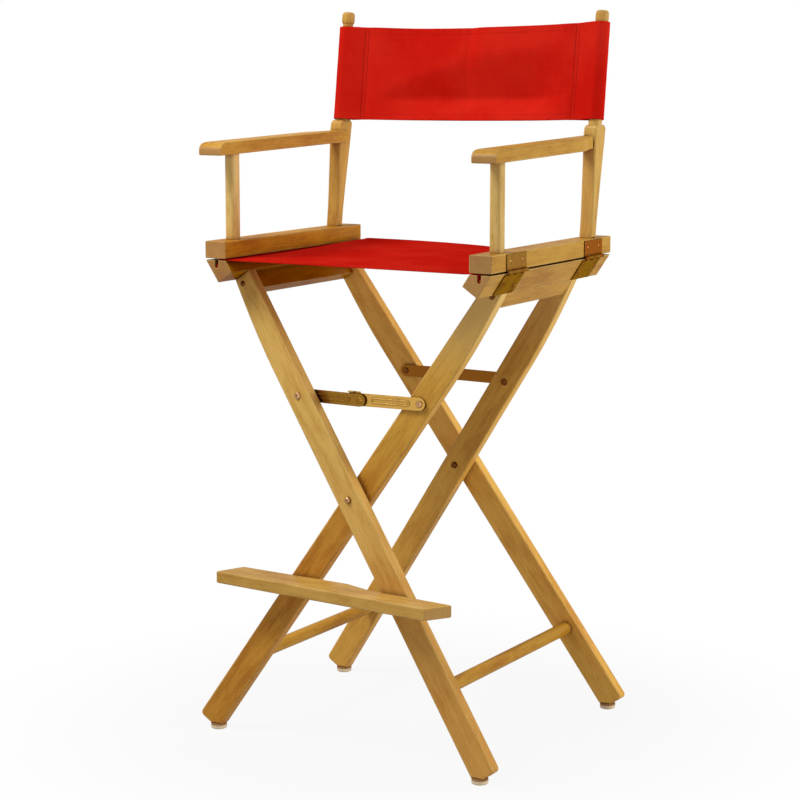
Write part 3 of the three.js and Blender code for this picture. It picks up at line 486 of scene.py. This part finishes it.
def canvas_material(name, turn, settings, tone=1.0):
    """Woven canvas. turn lays the threads along the cloth, and tone makes it darker."""
    cloth = [channel * tone for channel in settings.cloth]
    faded = [channel * tone for channel in settings.faded]
    material, shader, place = new_material(name)
    laid = mapped(place, turn)
    weave = effect(laid, "Canvas weave", Pitch=settings.pitch)
    dust = effect(laid, "Dulling", Size=16.0, Amount=0.35)
    look = mixed(span(weave["Cloud"], 0.35, 0.65), shaded(cloth), shaded(faded))
    # Painted shade between the threads: the cloth is darker where the weave is low.
    look = mixed((1 - weave["Height"]) * 0.42, look, shaded(cloth, 0.35))
    look = mixed(span(weave["Slub"], 0.42, 0.62, 0.0, 0.16), look, shaded(faded, 1.2))
    connect(shader, {
        "Base Color": mixed(dust["Mask"] * 0.12, look, shaded(cloth, 0.6)),
        "Normal": bumped(weave["Height"], None, 0.0003, 0.7),
        "Roughness": 0.9, "Specular IOR Level": 0.0})
    return material


def thread_material(name, rgb):
    material, shader, place = new_material(name)
    twist = cloudy(place, 2600.0, 1.0)
    connect(shader, {
        "Base Color": mixed(twist, shaded(rgb), shaded(rgb, 0.6)),
        "Normal": bumped(twist, None, 0.0001), "Roughness": 0.8, "Specular IOR Level": 0.15})
    return material


# ---- CAD pieces ----
def smooth_group():
    """Geometry nodes that shade a piece smooth except across its sharp edges."""
    group = bpy.data.node_groups.new("Smooth faces", "GeometryNodeTree")
    for direction in ("INPUT", "OUTPUT"):
        group.interface.new_socket(
            name="Geometry", in_out=direction, socket_type="NodeSocketGeometry")
    angle = wire(group, "GeometryNodeInputMeshEdgeAngle")
    sharp = wire(group, "FunctionNodeCompare", {0: angle, 1: SMOOTH_BELOW},
                 data_type="FLOAT", operation="GREATER_THAN")
    faces = wire(group, "GeometryNodeSetShadeSmooth", {
        0: wire(group, "NodeGroupInput"), "Shade Smooth": True}, domain="FACE")
    edges = wire(group, "GeometryNodeSetShadeSmooth", {
        0: faces, "Selection": sharp, "Shade Smooth": False}, domain="EDGE")
    node(group, "NodeGroupOutput", {0: edges})
    return group


def dress(piece, material):
    """Gives a CAD piece its material and smooth shading; its mesh stays as it is."""
    if not piece.data.materials:
        piece.data.materials.append(material)
    for place in piece.material_slots:
        place.material = material
    group = bpy.data.node_groups.get("Smooth faces") or smooth_group()
    piece.modifiers.new("Smooth faces", "NODES").node_group = group


def pieces_of(slot):
    made = frame["record"]["subparts"]
    return [frame["nodes"][part["node"]] for part in made if part["material_slot"] == slot]


def chosen(table, piece, otherwise=None):
    """The first entry of a table whose key starts the piece's name."""
    return next((entry for name, entry in table.items() if piece.name.startswith(name)), otherwise)


# How pale and how light each piece of wood is: boards from different planks take varnish differently.
# Some values are painted light and shade too: the rear legs are lightened against the seat's shadow,
# the left seat rail darkened for its shade, the left apron darkened and reddened for its shade and
# the red light off the canvas, and the left armrest lightened for its highlight.
TONES_AND_PAINTED_LIGHT = {
    "front_post_left": (1.1, 1.15), "front_post_right": (0.9, 0.98), "footrest_board": (0.35, 0.94),
    "back_post_right": (0.45, 0.96), "back_post_left": (0.25, 0.96), "armrest_right": (0.0, 0.86),
    "armrest_left": (-0.05, 1.0), "arm_rail_right": (0.0, 0.82), "arm_rail_left": (-0.3, 0.98),
    "leg_front_outer": (0.5, 1.08), "leg_front_inner": (0.0, 1.02), "leg_rear_outer": (0.25, 1.45),
    "leg_rear_inner": (0.15, 1.2), "stretcher": (-0.15, 0.86), "seat_rail_right": (0.0, 0.86),
    "seat_rail_left": (-0.7, 0.80), "apron_left": (-0.75, 0.74), "apron_right": (0.0, 0.9),
    "seat_dowel": (0.8, 1.0),
}
# How far each leg is browner towards its foot, and how far it is painted paler just below the seat: a
# painted highlight.
FOOT_TONE_AND_PAINTED_HIGHLIGHT = {
    "leg_front_outer": (0.55, 0.0), "leg_front_inner": (0.45, 0.65), "leg_rear_inner": (0.15, 0.4),
    "leg_rear_outer": (0.15, 0.0),
}


class CHAIR_OT_wood(bpy.types.Operator):
    """Varnish every wooden piece, each with its own run of grain"""
    bl_idname = "chair.wood"
    bl_label = "Varnish the wood"

    def execute(self, context):
        settings = context.scene.chair_wood
        for count, piece in enumerate(pieces_of("wood"), start=3):
            pale, tone = chosen(TONES_AND_PAINTED_LIGHT, piece)
            ends = chosen(FOOT_TONE_AND_PAINTED_HIGHLIGHT, piece, (0.0, 0.0))
            dress(piece, wood_material(piece, count * 1.7, pale, tone, ends, settings))
        return {"FINISHED"}


def head_of(piece):
    """The middle of a screw's head and the way it faces: outwards, or to the front on cross bolts."""
    points = [vertex.co for vertex in piece.data.vertices]
    axis = long_axis(piece)
    outward = axis if axis.y * np.mean([point.y for point in points]) > 0 else -axis
    if piece.name.startswith("cross_bolt"):
        outward = Vector((0, -1, 0))
    top = max(point.dot(outward) for point in points)
    face = [point for point in points if point.dot(outward) > top - 0.0004]
    return sum(face, Vector()) / len(face), outward


# Which metal each brass piece has: the metal setting named for the start of its node's name. The
# right front links' lighter brass is a painted highlight.
BRASSES = {
    "hinge_upper_rear": "reddish", "hinge": "hinge", "stay_link_rear": "copper",
    "stay_link_front_left": "dull_brass", "stay_link_front_right": "brass",
}
RECESSED = ("leg_screw", "cross_bolt", "stay_bolt", "stay_screw")  # their heads have a cross recess


class CHAIR_OT_metal(bpy.types.Operator):
    """Give the hinges, folding stays, bolts, screws and pegs their metals"""
    bl_idname = "chair.metal"
    bl_label = "Plate the metal"

    def execute(self, context):
        settings = context.scene.chair_metal
        brasses = {}
        for key in sorted(set(BRASSES.values())):
            rim = settings.tarnish_and_shade if key in ("hinge", "reddish") else None
            brasses[key] = metal_material(
                key + "_metal", getattr(settings, key), settings.tarnish_and_shade, 0.6 if rim else 0.3, 55.0,
                settings, rim)
        steel = metal_material("plated_steel", settings.reddish, settings.dull_plating_and_shade, 0.4, 160.0, settings)
        for piece in pieces_of("brass"):
            dress(piece, brasses[chosen(BRASSES, piece)])
        for piece in pieces_of("steel"):
            if piece.name.startswith(RECESSED):
                # The leg screws and the rear screws and bolts take the darker colour.
                dull = piece.name.startswith("leg_screw") or "_rear" in piece.name
                dress(piece, metal_material(
                    "metal_" + piece.name, settings.tarnish_and_shade if dull else settings.steel,
                    settings.dull_plating_and_shade, 0.4, 160.0, settings, head=head_of(piece)))
            else:
                dress(piece, steel)
        return {"FINISHED"}


class CHAIR_OT_glides(bpy.types.Operator):
    """Give the glides under the feet their worn plastic"""
    bl_idname = "chair.glides"
    bl_label = "Mould the glides"

    def execute(self, context):
        plastic = glide_material(context.scene.chair_metal)
        for piece in pieces_of("glides"):
            dress(piece, plastic)
        return {"FINISHED"}


# ---- Cloth ----
def cloth_solid(made, rows, thickness):
    """Adds a thin closed sheet. rows is a grid of points on its middle surface; thickness gives the
    sheet's thickness at a grid place."""
    count, width = len(rows), len(rows[0])
    sides = [[], []]
    for i in range(count):
        for j in range(width):
            ahead = rows[min(i + 1, count - 1)][j] - rows[max(i - 1, 0)][j]
            beside = rows[i][min(j + 1, width - 1)] - rows[i][max(j - 1, 0)]
            normal = ahead.cross(beside).normalized()
            half = thickness(i, j) / 2
            sides[0].append(made.verts.new(rows[i][j] + normal * half))
            sides[1].append(made.verts.new(rows[i][j] - normal * half))
    faces = []
    for i in range(count - 1):
        for j in range(width - 1):
            a, b = i * width + j, (i + 1) * width + j
            faces.append([sides[0][k] for k in (a, b, b + 1, a + 1)])
            faces.append([sides[1][k] for k in (a, a + 1, b + 1, b)])
    rim = [i * width for i in range(count)]
    rim += [(count - 1) * width + j for j in range(1, width)]
    rim += [i * width + width - 1 for i in range(count - 2, -1, -1)]
    rim += range(width - 2, 0, -1)
    for a, b in zip(rim, rim[1:] + rim[:1]):
        faces.append([sides[0][b], sides[0][a], sides[1][a], sides[1][b]])
    for corners in faces:
        made.faces.new(corners).smooth = True


def stitches(made, path, outward, settings, lift, slot=1):
    """Lays stitches of a material slot along a path of points, raised by lift on its outward side."""
    step = settings.stitch + settings.stitch_gap
    radius = settings.thread_radius
    gaps = [(after - point).length for point, after in zip(path, path[1:])]
    stations = [(0.0, -1.1), (0.16, 0.25), (0.5, 0.55), (0.84, 0.25), (1.0, -1.1)]
    travelled, place = 0.0, 0
    for k in range(int((sum(gaps) - settings.stitch) / step) + 1):
        rings = []
        for share, rise in stations:
            distance = k * step + share * settings.stitch + 0.0004
            while place < len(gaps) - 1 and travelled + gaps[place] < distance:
                travelled += gaps[place]
                place += 1
            point = path[place].lerp(path[place + 1], within((distance - travelled) / gaps[place]))
            side = (path[place + 1] - path[place]).normalized().cross(outward).normalized()
            centre = point + outward * (lift + rise * radius)
            ring = []
            for corner in range(6):
                turn = corner * math.pi / 3
                ring.append(made.verts.new(
                    centre + side * math.cos(turn) * radius + outward * math.sin(turn) * radius * 0.8))
            rings.append(ring)
        for low, high in zip(rings, rings[1:]):
            for corner in range(6):
                after = (corner + 1) % 6
                face = made.faces.new((low[corner], low[after], high[after], high[corner]))
                face.material_index, face.smooth = slot, True
        for ring in (rings[0][::-1], rings[-1]):
            made.faces.new(ring).material_index = slot


def new_piece(name, made, materials):
    bmesh.ops.recalc_face_normals(made, faces=made.faces)
    mesh = bpy.data.meshes.new(name)
    made.to_mesh(mesh)
    made.free()
    for material in materials:
        mesh.materials.append(material)
    piece = bpy.data.objects.new(name, mesh)
    bpy.context.scene.collection.objects.link(piece)
    return piece


def wander(x, y, z=0.0):
    """A smooth value from -1 to 1 that drifts over the cloth."""
    return noise.noise(Vector((x, y, z)))


def within(share):
    return min(1, max(0, share))


def smooth(share):
    share = within(share)
    return share * share * (3 - 2 * share)


def hem_marks(size, hem, first, step, count):
    """Where the rows of a cloth lie along its size: close together across both hems, and count even
    steps apart between them."""
    marks = [0.0, first]
    while marks[-1] < hem:
        marks.append(marks[-1] + step)
    start = marks[-1]
    inner = [start + (size - 2 * start) * k / count for k in range(1, count)]
    return marks + inner + [size - mark for mark in reversed(marks)]


SEAT_WRAP = 255     # how far round its dowel the seat canvas is wrapped, in degrees
SEAT_BEND = 0.0016  # radius of the seat canvas's bend at the edge of a slot
SEAT_DROP = 0.0042  # how far the seat canvas hangs slack near its right rear corner


class SeatPlan:
    """Where the seat canvas runs: round the dowel in each rail's slot, and over the rails between."""

    def __init__(self, settings):
        self.settings = settings
        self.low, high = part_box("seat_canvas")
        self.depth = high.y - self.low.y
        self.flat = high.z - settings.thickness / 2
        self.rest = abs(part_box("arm_rail_left")[1].x) - 0.004
        dowel_low, dowel_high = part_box("seat_dowel_left")
        self.dowel_x = -(dowel_low.x + dowel_high.x) / 2
        self.dowel_z = (dowel_low.z + dowel_high.z) / 2
        self.ring = (dowel_high.x - dowel_low.x) / 2 + 0.00018 + settings.thickness / 2
        self.edge = self.dowel_x - self.ring - SEAT_BEND
        self.line = self.across()
        self.ys = hem_marks(self.depth, settings.hem + 0.003, 0.0015, 0.0025, 34)

    def across(self):
        """The x and z of the cloth's middle surface, from one dowel to the other."""
        half = []
        for k in range(15):
            turn = math.radians(SEAT_WRAP * k / 14 - 75)
            half.append((self.dowel_x + self.ring * math.cos(turn),
                         self.dowel_z - self.ring * math.sin(turn)))
        half.append((self.edge + SEAT_BEND, self.dowel_z + 0.004))
        for k in range(5):
            turn = math.pi / 2 * k / 4
            half.append((self.edge + SEAT_BEND * math.cos(turn),
                         self.flat + SEAT_BEND * (math.sin(turn) - 1)))
        flat = [(self.edge * (1 - k / 30), self.flat) for k in range(1, 60)]
        return half + flat + [(-x, z) for x, z in reversed(half)]

    def point(self, x, y, z):
        """A place of the cloth with its arch, its ripples and its slack rear corner."""
        settings, rest, share = self.settings, self.rest, y / self.depth
        free = smooth((rest - abs(x)) / 0.06)
        inner = smooth(min(y, self.depth - y) / 0.05)
        arch = max(0.0, 1 - (max(0.0, x + 0.15) / 0.225) ** 2)
        arch *= smooth((rest - abs(x)) / (0.014 if x < 0 else 0.03)) * smooth((share - 0.2) / 0.8)
        soft = wander(x * 3.2, y * 16, 1.7) * (0.35 + 0.65 * inner) + 0.5 * wander(x * 9, y * 30, 4.1)
        drop = smooth((x - 0.02) / 0.09) * smooth((rest - x) / 0.03) * smooth((share - 0.5) / 0.45)
        rise = settings.seat_crown * arch + settings.ripple * 0.6 * soft * free * inner - SEAT_DROP * drop
        pull = 0.0016 * free * (1 - 2 * share) * (1 - (x / rest) ** 2)
        return Vector((x, self.low.y + y + pull, z + rise))

    def thickness(self, i, j):
        """The cloth's thickness at a place of its grid: more at the hems, less on the rails."""
        edge = min(self.ys[i], self.depth - self.ys[i])
        hem = 0.55 * smooth((self.settings.hem + 0.0012 - edge) / 0.0024)
        return self.settings.thickness * (0.82 if abs(self.line[j][0]) > self.rest else 1 + hem)


class CHAIR_OT_seat_canvas(bpy.types.Operator):
    """Sew the seat: one sheet between the rails, hemmed round a dowel in each slot"""
    bl_idname = "chair.seat_canvas"
    bl_label = "Sew the seat"

    def execute(self, context):
        settings = context.scene.chair_canvas
        plan = SeatPlan(settings)
        rows = [[plan.point(x, y, z) for x, z in plan.line] for y in plan.ys]
        made = bmesh.new()
        cloth_solid(made, rows, plan.thickness)
        inset = settings.hem - 0.002
        for y in (inset, plan.depth - inset):
            i = min(range(len(rows)), key=lambda k: abs(plan.ys[k] - y))
            path = [point for point, (x, _) in zip(rows[i], plan.line) if abs(x) < plan.rest]
            lift = plan.thickness(i, len(plan.line) // 2) / 2
            for outward in (UP, -UP):
                stitches(made, path, outward, settings, lift)
        cloth = canvas_material("seat_canvas_cloth", (0.0, 0.0, 0.0), settings, settings.seat_tone)
        piece = new_piece("seat_cloth", made, [cloth, thread_material("hem_thread", settings.thread)])
        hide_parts("seat_canvas")
        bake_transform(piece)
        around = 2 * (math.radians(SEAT_WRAP) * plan.ring + plan.flat - plan.dowel_z)
        2 * plan.edge + around
        return {"FINISHED"}


POST_RADIUS = 0.0108             # of a back post inside its sleeve
SLEEVE_EASE = 0.0016             # how far a sleeve stands off its post
BACK_LEAN = math.radians(7.61)   # how far the back posts lean to the rear
SEAM_SLOT = 2                    # the back panel's material slot for the thread along its sleeves
SLEEVE_LIP = 0.011               # how far a sleeve's cloth runs on inside the flap
CREASE_DEPTH = 0.0034            # of the back panel's upright crease
HOLLOW_DEPTH = 0.009             # of the hollow in the back panel's upper left part


class BackPlan:
    """Where the back canvas runs: the axis of each post's sleeve, the panel's own directions, and the
    slack in which the cloth hangs, bows, folds and creases. A height share is 0 at the canvas's lower
    edge and 1 at its upper edge."""

    def __init__(self, settings):
        self.settings = settings
        self.ahead = Vector((0, -math.cos(BACK_LEAN), math.sin(BACK_LEAN)))
        self.up = Vector((0, math.sin(BACK_LEAN), math.cos(BACK_LEAN)))
        self.radius = POST_RADIUS + SLEEVE_EASE + settings.thickness / 2
        self.cut = self.radius + SLEEVE_EASE
        self.seam = (settings.outer_seam + settings.inner_seam) / 2
        points = [vertex.co for vertex in frame["nodes"]["back_canvas"].data.vertices]
        self.axes = {side: self.axis(points, side) for side in (-1, 1)}
        self.height = (self.axes[1][1] - self.axes[1][0]).dot(self.up)
        marks = hem_marks(self.height, settings.hem + 0.002, 0.0012, 0.0024, 22)
        self.rises = [mark / self.height for mark in marks]

    def axis(self, points, side):
        """The lower and upper end of the sleeve's axis on one side of the chair."""
        own = [point for point in points if point.x * side > 0.2]
        heights = [point.dot(self.up) for point in own]
        ends = []
        for edge, beyond in ((min(heights), -0.001), (max(heights), 0.001)):
            ring = [point for point, height in zip(own, heights) if abs(height - edge) < 0.007]
            outer = max(ring, key=lambda point: point.x * side)
            outs = [point.dot(self.ahead) for point in ring]
            middle = Vector((outer.x - side * (self.radius + self.settings.thickness / 2), 0, 0))
            middle += self.ahead * (max(outs) + min(outs)) / 2 + self.up * outer.dot(self.up)
            ends.append(middle + self.up * beyond)
        return ends

    def post(self, side, rise):
        """A point on a sleeve's axis at a height share."""
        return self.axes[side][0].lerp(self.axes[side][1], rise)

    def half(self, rise):
        """Half the distance between the two axes at a height share."""
        return (self.post(1, rise).x - self.post(-1, rise).x) / 2

    def at(self, x, rise, out):
        """A point x across and out towards the front, at a height share."""
        left, right = self.post(-1, rise), self.post(1, rise)
        flat = left.lerp(right, (x - left.x) / (right.x - left.x))
        return Vector((x, flat.y, flat.z)) + self.ahead * out

    def hem(self, rise):
        """How much thicker the cloth is where the hem is turned under."""
        edge = min(rise, 1 - rise) * self.height
        return self.settings.thickness * 0.5 * smooth((self.settings.hem + 0.001 - edge) / 0.002)

    def thickness(self, rise, layers=1.0):
        return self.settings.thickness * layers + self.hem(rise)

    def outer(self, side, rise):
        """How far from the chair's middle the panel reaches on one side."""
        return abs(self.post(side, rise).x) - self.cut

    def flap(self, x, rise):
        """How far a sleeve's cloth stands out from the panel's plane between its seam and the post."""
        if abs(x) <= self.seam:
            return 0.0
        reach = abs(self.post(math.copysign(1, x), rise).x) - self.seam
        tangent = math.acos(self.radius / reach)
        run = reach - self.radius * math.cos(tangent)
        return self.radius * math.sin(tangent) * (abs(x) - self.seam) / run

    def hang(self, x, rise):
        share = 1 - (x / self.half(rise)) ** 2
        return self.up * (-self.settings.back_sag * share * (0.7 + 0.15 * rise))

    def valley(self, x, rise):
        """A slack valley along the lower part, which opens upwards to the right."""
        floor = 0.235
        brow = 0.29 + 0.40 * within((x + 0.175) / 0.165) + 0.10 * max(0, x) / 0.17
        share = (brow - rise) / (brow - floor) if rise > floor else rise / floor
        deep = within(share) ** 1.15 * (brow - floor) / 0.5
        return deep * smooth((x + 0.19) / 0.07) * smooth((0.198 - x) / 0.10)

    def crease(self, x, rise):
        """An upright crease near the middle, sharp on its left and easing out to the right."""
        offset = x + 0.011
        side = math.exp(-offset / 0.017) if offset > 0 else math.exp(offset / 0.0025)
        return side * (0.25 + 0.75 * smooth((rise - 0.4) / 0.5))

    def slack(self, x, rise):
        """How far the cloth stands in front of its plane, in metres; behind is negative."""
        free = smooth((self.seam - abs(x)) / 0.05)
        soft = wander(x * 5.5 + rise * 2.4, rise * 2.2 - x * 4.0, 2.3)
        soft += 0.4 * wander(x * 15, rise * 6, 7.7)
        near_edge = math.exp(-min(rise, 1 - rise) * self.height / 0.012)
        near_seam = math.exp(-abs(abs(x) - self.seam) / 0.008)
        bow = 0.15 + 0.35 * math.sin(math.pi * within(rise)) + 1.3 * max(0, rise) ** 3
        hollow = smooth((x + 0.185) / 0.09) * smooth((0.03 - x) / 0.06) * smooth((rise - 0.48) / 0.47)
        out = -self.settings.back_bow * free * (1 - (x / self.seam) ** 2) * bow
        out -= self.settings.fold * self.valley(x, rise)
        out -= CREASE_DEPTH * self.crease(x, rise) * free + HOLLOW_DEPTH * hollow
        out += self.settings.ripple * free * soft
        out += 0.0005 * near_edge * free * wander(x * 46, rise * 3, 9.1)
        return out + 0.0005 * near_seam * wander(x * 30, rise * 38, 5.0)

    def front(self, x, rise, back=0.0):
        """A point on the front layer of the cloth, or a little behind it."""
        out = self.flap(x, rise) + self.slack(x, rise) - back
        return self.at(x, rise, out) + self.hang(x, rise)

    def behind(self, x, rise):
        """A point on the layer that comes back from the post and is sewn on behind."""
        out = self.slack(x, rise) - self.flap(x, rise)
        out -= self.settings.thickness * 1.12 + 1.5 * self.hem(rise)
        return self.at(x, rise, out) + self.hang(x, rise)


def back_panel(plan):
    """The middle of the back with the front and rear layers of both sleeve flaps."""
    made = bmesh.new()
    settings, seam, thick = plan.settings, plan.seam, plan.settings.thickness
    flap = [1, 0.98] + [1 - k / 9 for k in range(1, 9)]
    centre = [seam * (k / 45 - 1) for k in range(91)]
    rows = []
    for rise in plan.rises:
        left, right = plan.outer(-1, rise), plan.outer(1, rise)
        xs = [-(seam + (left - seam) * share) for share in flap] + centre
        xs += [seam + (right - seam) * share for share in reversed(flap)]
        rows.append([plan.front(x, rise, plan.hem(rise) / 2) for x in xs])
    cloth_solid(made, rows, lambda i, j: plan.thickness(plan.rises[i]))
    start = settings.inner_seam - 0.004
    for side in (-1, 1):
        strip = []
        for rise in plan.rises:
            reach = plan.outer(side, rise) - start
            strip.append([plan.behind(side * (start + reach * k / 14), rise) for k in range(15)])
        cloth_solid(made, strip, lambda i, j: plan.thickness(plan.rises[i], 0.96))
    run = [0.02 + 0.96 * k / 90 for k in range(91)]
    for x in (-settings.outer_seam, -settings.inner_seam, settings.outer_seam, settings.inner_seam):
        for layer, outward in ((plan.front, plan.ahead), (plan.behind, -plan.ahead)):
            path = [layer(x, rise) for rise in run]
            stitches(made, path, outward, settings, thick / 2, SEAM_SLOT)
    hem = (settings.hem - 0.002) / plan.height
    across = [(k / 60 - 1) * (settings.inner_seam - 0.002) for k in range(121)]
    for rise in (hem, 1 - hem):
        path = [plan.front(x, rise) for x in across]
        for outward, lift in ((plan.ahead, thick / 2), (-plan.ahead, thick)):
            stitches(made, path, outward, settings, lift)
    return made


def back_sleeve(plan, side):
    """The part of the canvas that wraps one post's dowel, with lips that run inside the flap."""
    made = bmesh.new()
    cut, radius = plan.cut, plan.radius
    rows = []
    for rise in plan.rises:
        axis = abs(plan.post(side, rise).x)
        reach = axis - plan.seam
        tangent = math.acos(radius / reach)
        tip_in = radius * math.cos(tangent)

        def straight(inward):
            under = 0.0013 * smooth((inward - cut - 0.0006) / 0.0008)
            return radius * math.sin(tangent) * (reach - inward) / (reach - tip_in) - under

        past = (SLEEVE_LIP, SLEEVE_LIP / 2, 0.0014, 0.0010, 0.0006, 0.0002, -0.004)
        ins = [cut + inward for inward in past]
        ins.append((cut + tip_in) / 2 - 0.002)
        line = [(inward, straight(inward)) for inward in ins]
        turns = [tangent + (2 * math.pi - 2 * tangent) * k / 40 for k in range(41)]
        line += [(radius * math.cos(turn), radius * math.sin(turn)) for turn in turns]
        line += [(inward, -straight(inward)) for inward in reversed(ins)]
        row = []
        for inward, out in line:
            slack = 1 + 0.012 * wander(math.atan2(out, inward) * 0.8, rise * 7, 3 + side)
            scale = (slack if inward < tip_in else 1.0) - plan.hem(rise) / 2 / radius
            row.append(plan.at(side * (axis - inward * scale), rise, out * scale))
        rows.append(row)
    cloth_solid(made, rows, lambda i, j: plan.thickness(plan.rises[i], 0.98))
    return made


class CHAIR_OT_back_canvas(bpy.types.Operator):
    """Sew the back: a panel with a stitched sleeve over each back post"""
    bl_idname = "chair.back_canvas"
    bl_label = "Sew the back"

    def execute(self, context):
        settings = context.scene.chair_canvas
        plan = BackPlan(settings)
        cloth = canvas_material("back_canvas_cloth", (BACK_LEAN - math.pi / 2, 0.0, 0.0), settings)
        threads = [thread_material("back_hem_thread", settings.thread),
                   thread_material("sleeve_thread", settings.seam_thread)]
        panel = new_piece("back_panel", back_panel(plan), [cloth, *threads])
        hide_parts("back_canvas")
        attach(panel, "left_arm")
        post = plan.post(-1, 0.5)
        anchor = (post.x + plan.cut, post.y, post.z)
        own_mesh(panel)
        half = plan.half(0.5)
        wrap = 2 * math.pi * plan.radius * 0.62 + 0.024 + 0.022
        for side, sign in (("left", -1), ("right", 1)):
            sleeve = new_piece("back_sleeve_" + side, back_sleeve(plan, sign), [cloth])
            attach(sleeve, side + "_arm")
        return {"FINISHED"}


# ---- Stage ----
# Each lamp's size and the way it stands from the chair's middle, and how far away they all stand.
LAMPS = {
    "key": (1.4, (-0.5, -0.6, 1.1)), "fill": (2.0, (0.05, -1.0, -0.05)),
    "side": (1.8, (0.95, 0.35, 0.15)),
}
LAMP_DISTANCE = 3.2
# Where the camera stands from the chair's middle.
CAMERA_PLACE = Vector((1.7793, -3.0650, 0.5212))
WHITE = {"Color": (1, 1, 1, 1), "Strength": 1.0}


def seen_share(tree):
    """1 for what the camera sees, directly, mirrored or through the piece, and 0 for light that falls
    on the chair."""
    path = node(tree, "ShaderNodeLightPath").outputs
    seen, mirrored, through = (
        Wire(path[name]) for name in ("Is Camera Ray", "Is Glossy Ray", "Is Transmission Ray"))
    return seen.maths("MAXIMUM", mirrored.maths("MAXIMUM", through))


def cleared(owner):
    """The empty node tree of a material or world."""
    owner.use_nodes = True
    owner.node_tree.nodes.clear()
    return owner.node_tree


def floor_material(settings):
    """Pale floor. The camera sees it fade to white away from the chair, with the chair's shadow."""
    material = bpy.data.materials.new("pale_floor")
    tree = cleared(material)
    place = wire(tree, "ShaderNodeTexCoord", output="Object")
    base = mixed(cloudy(place, 1.4), shaded(settings.floor), shaded(settings.floor, 0.985))
    far = span(place.vector("DISTANCE", (0, 0, 0), "Value"), 0.3, 0.8, 0.92, 1.0)
    both = wire(tree, "ShaderNodeMixShader", {
        0: seen_share(tree) * far, 1: wire(tree, "ShaderNodeBsdfDiffuse", {"Color": base}),
        2: wire(tree, "ShaderNodeEmission", WHITE)})
    node(tree, "ShaderNodeOutputMaterial", {"Surface": both})
    return material


def set_world(settings):
    world = bpy.context.scene.world or bpy.data.worlds.new("studio")
    bpy.context.scene.world = world
    tree = cleared(world)
    even = {"Color": (1, 0.99, 0.97, 1), "Strength": settings.sky}
    both = wire(tree, "ShaderNodeMixShader", {
        0: seen_share(tree), 1: wire(tree, "ShaderNodeBackground", even),
        2: wire(tree, "ShaderNodeBackground", WHITE)})
    node(tree, "ShaderNodeOutputWorld", {"Surface": both})


def hang_lamps(settings, middle):
    for name, (size, direction) in LAMPS.items():
        light = bpy.data.lights.new(name + "_lamp", "AREA")
        light.energy, light.size = getattr(settings, name), size
        lamp = bpy.data.objects.new(name + "_lamp", light)
        away = Vector(direction).normalized()
        lamp.location = middle + away * LAMP_DISTANCE
        lamp.rotation_euler = away.to_track_quat("Z", "Y").to_euler()
        bpy.context.scene.collection.objects.link(lamp)


class CHAIR_OT_stage(bpy.types.Operator):
    """Lay the floor, hang the lamps and set the camera"""
    bl_idname = "chair.stage"
    bl_label = "Set the stage"

    def execute(self, context):
        settings = context.scene.chair_stage
        middle = sum(CAD_BOX, Vector()) / 2
        bpy.ops.mesh.primitive_circle_add(
            vertices=64, radius=4, fill_type="NGON", location=(middle.x, middle.y, CAD_BOX[0].z))
        floor = context.object
        floor.name = "floor"
        floor.data.materials.append(floor_material(settings))
        set_world(settings)
        hang_lamps(settings, middle)
        camera = bpy.data.cameras.new("camera")
        camera.lens, camera.sensor_width = settings.lens, 36
        camera.clip_end = 60
        viewer = bpy.data.objects.new("camera", camera)
        context.scene.collection.objects.link(viewer)
        viewer.location = middle + CAMERA_PLACE
        viewer.rotation_euler = (math.pi / 2 - settings.dip, 0, settings.turn)
        context.scene.camera = viewer
        context.scene.view_settings.view_transform = "Standard"
        return {"FINISHED"}


class CHAIR_PT_sidebar(bpy.types.Panel):
    """Shows the chair's steps and their settings"""
    bl_idname = "CHAIR_PT_sidebar"
    bl_label = "Chair"
    bl_space_type = "VIEW_3D"
    bl_region_type = "UI"
    bl_category = "Chair"

    def draw(self, context):
        for operator in STEPS:
            self.layout.operator(operator.bl_idname)
        for name, group in SETTINGS.items():
            box = self.layout.box()
            settings = getattr(context.scene, name)
            for key in group.__annotations__:
                box.prop(settings, key)


SETTINGS = {
    "chair_wood": ChairWoodSettings,
    "chair_canvas": ChairCanvasSettings,
    "chair_metal": ChairMetalSettings,
    "chair_stage": ChairStageSettings,
}
STEPS = (
    CHAIR_OT_stage, CHAIR_OT_wood, CHAIR_OT_metal, CHAIR_OT_glides,
    CHAIR_OT_seat_canvas, CHAIR_OT_back_canvas,
)


def register():
    for made in (*SETTINGS.values(), *STEPS, CHAIR_PT_sidebar):
        bpy.utils.register_class(made)
    for name, group in SETTINGS.items():
        setattr(bpy.types.Scene, name, PointerProperty(type=group))


def unregister():
    for name in SETTINGS:
        delattr(bpy.types.Scene, name)
    for made in (CHAIR_PT_sidebar, *STEPS[::-1], *SETTINGS.values()):
        bpy.utils.unregister_class(made)


def main():
    register()
    bpy.ops.chair.stage()
    bpy.ops.chair.wood()
    bpy.ops.chair.metal()
    bpy.ops.chair.glides()
    bpy.ops.chair.seat_canvas()
    bpy.ops.chair.back_canvas()


if __name__ == "__main__":
    main()
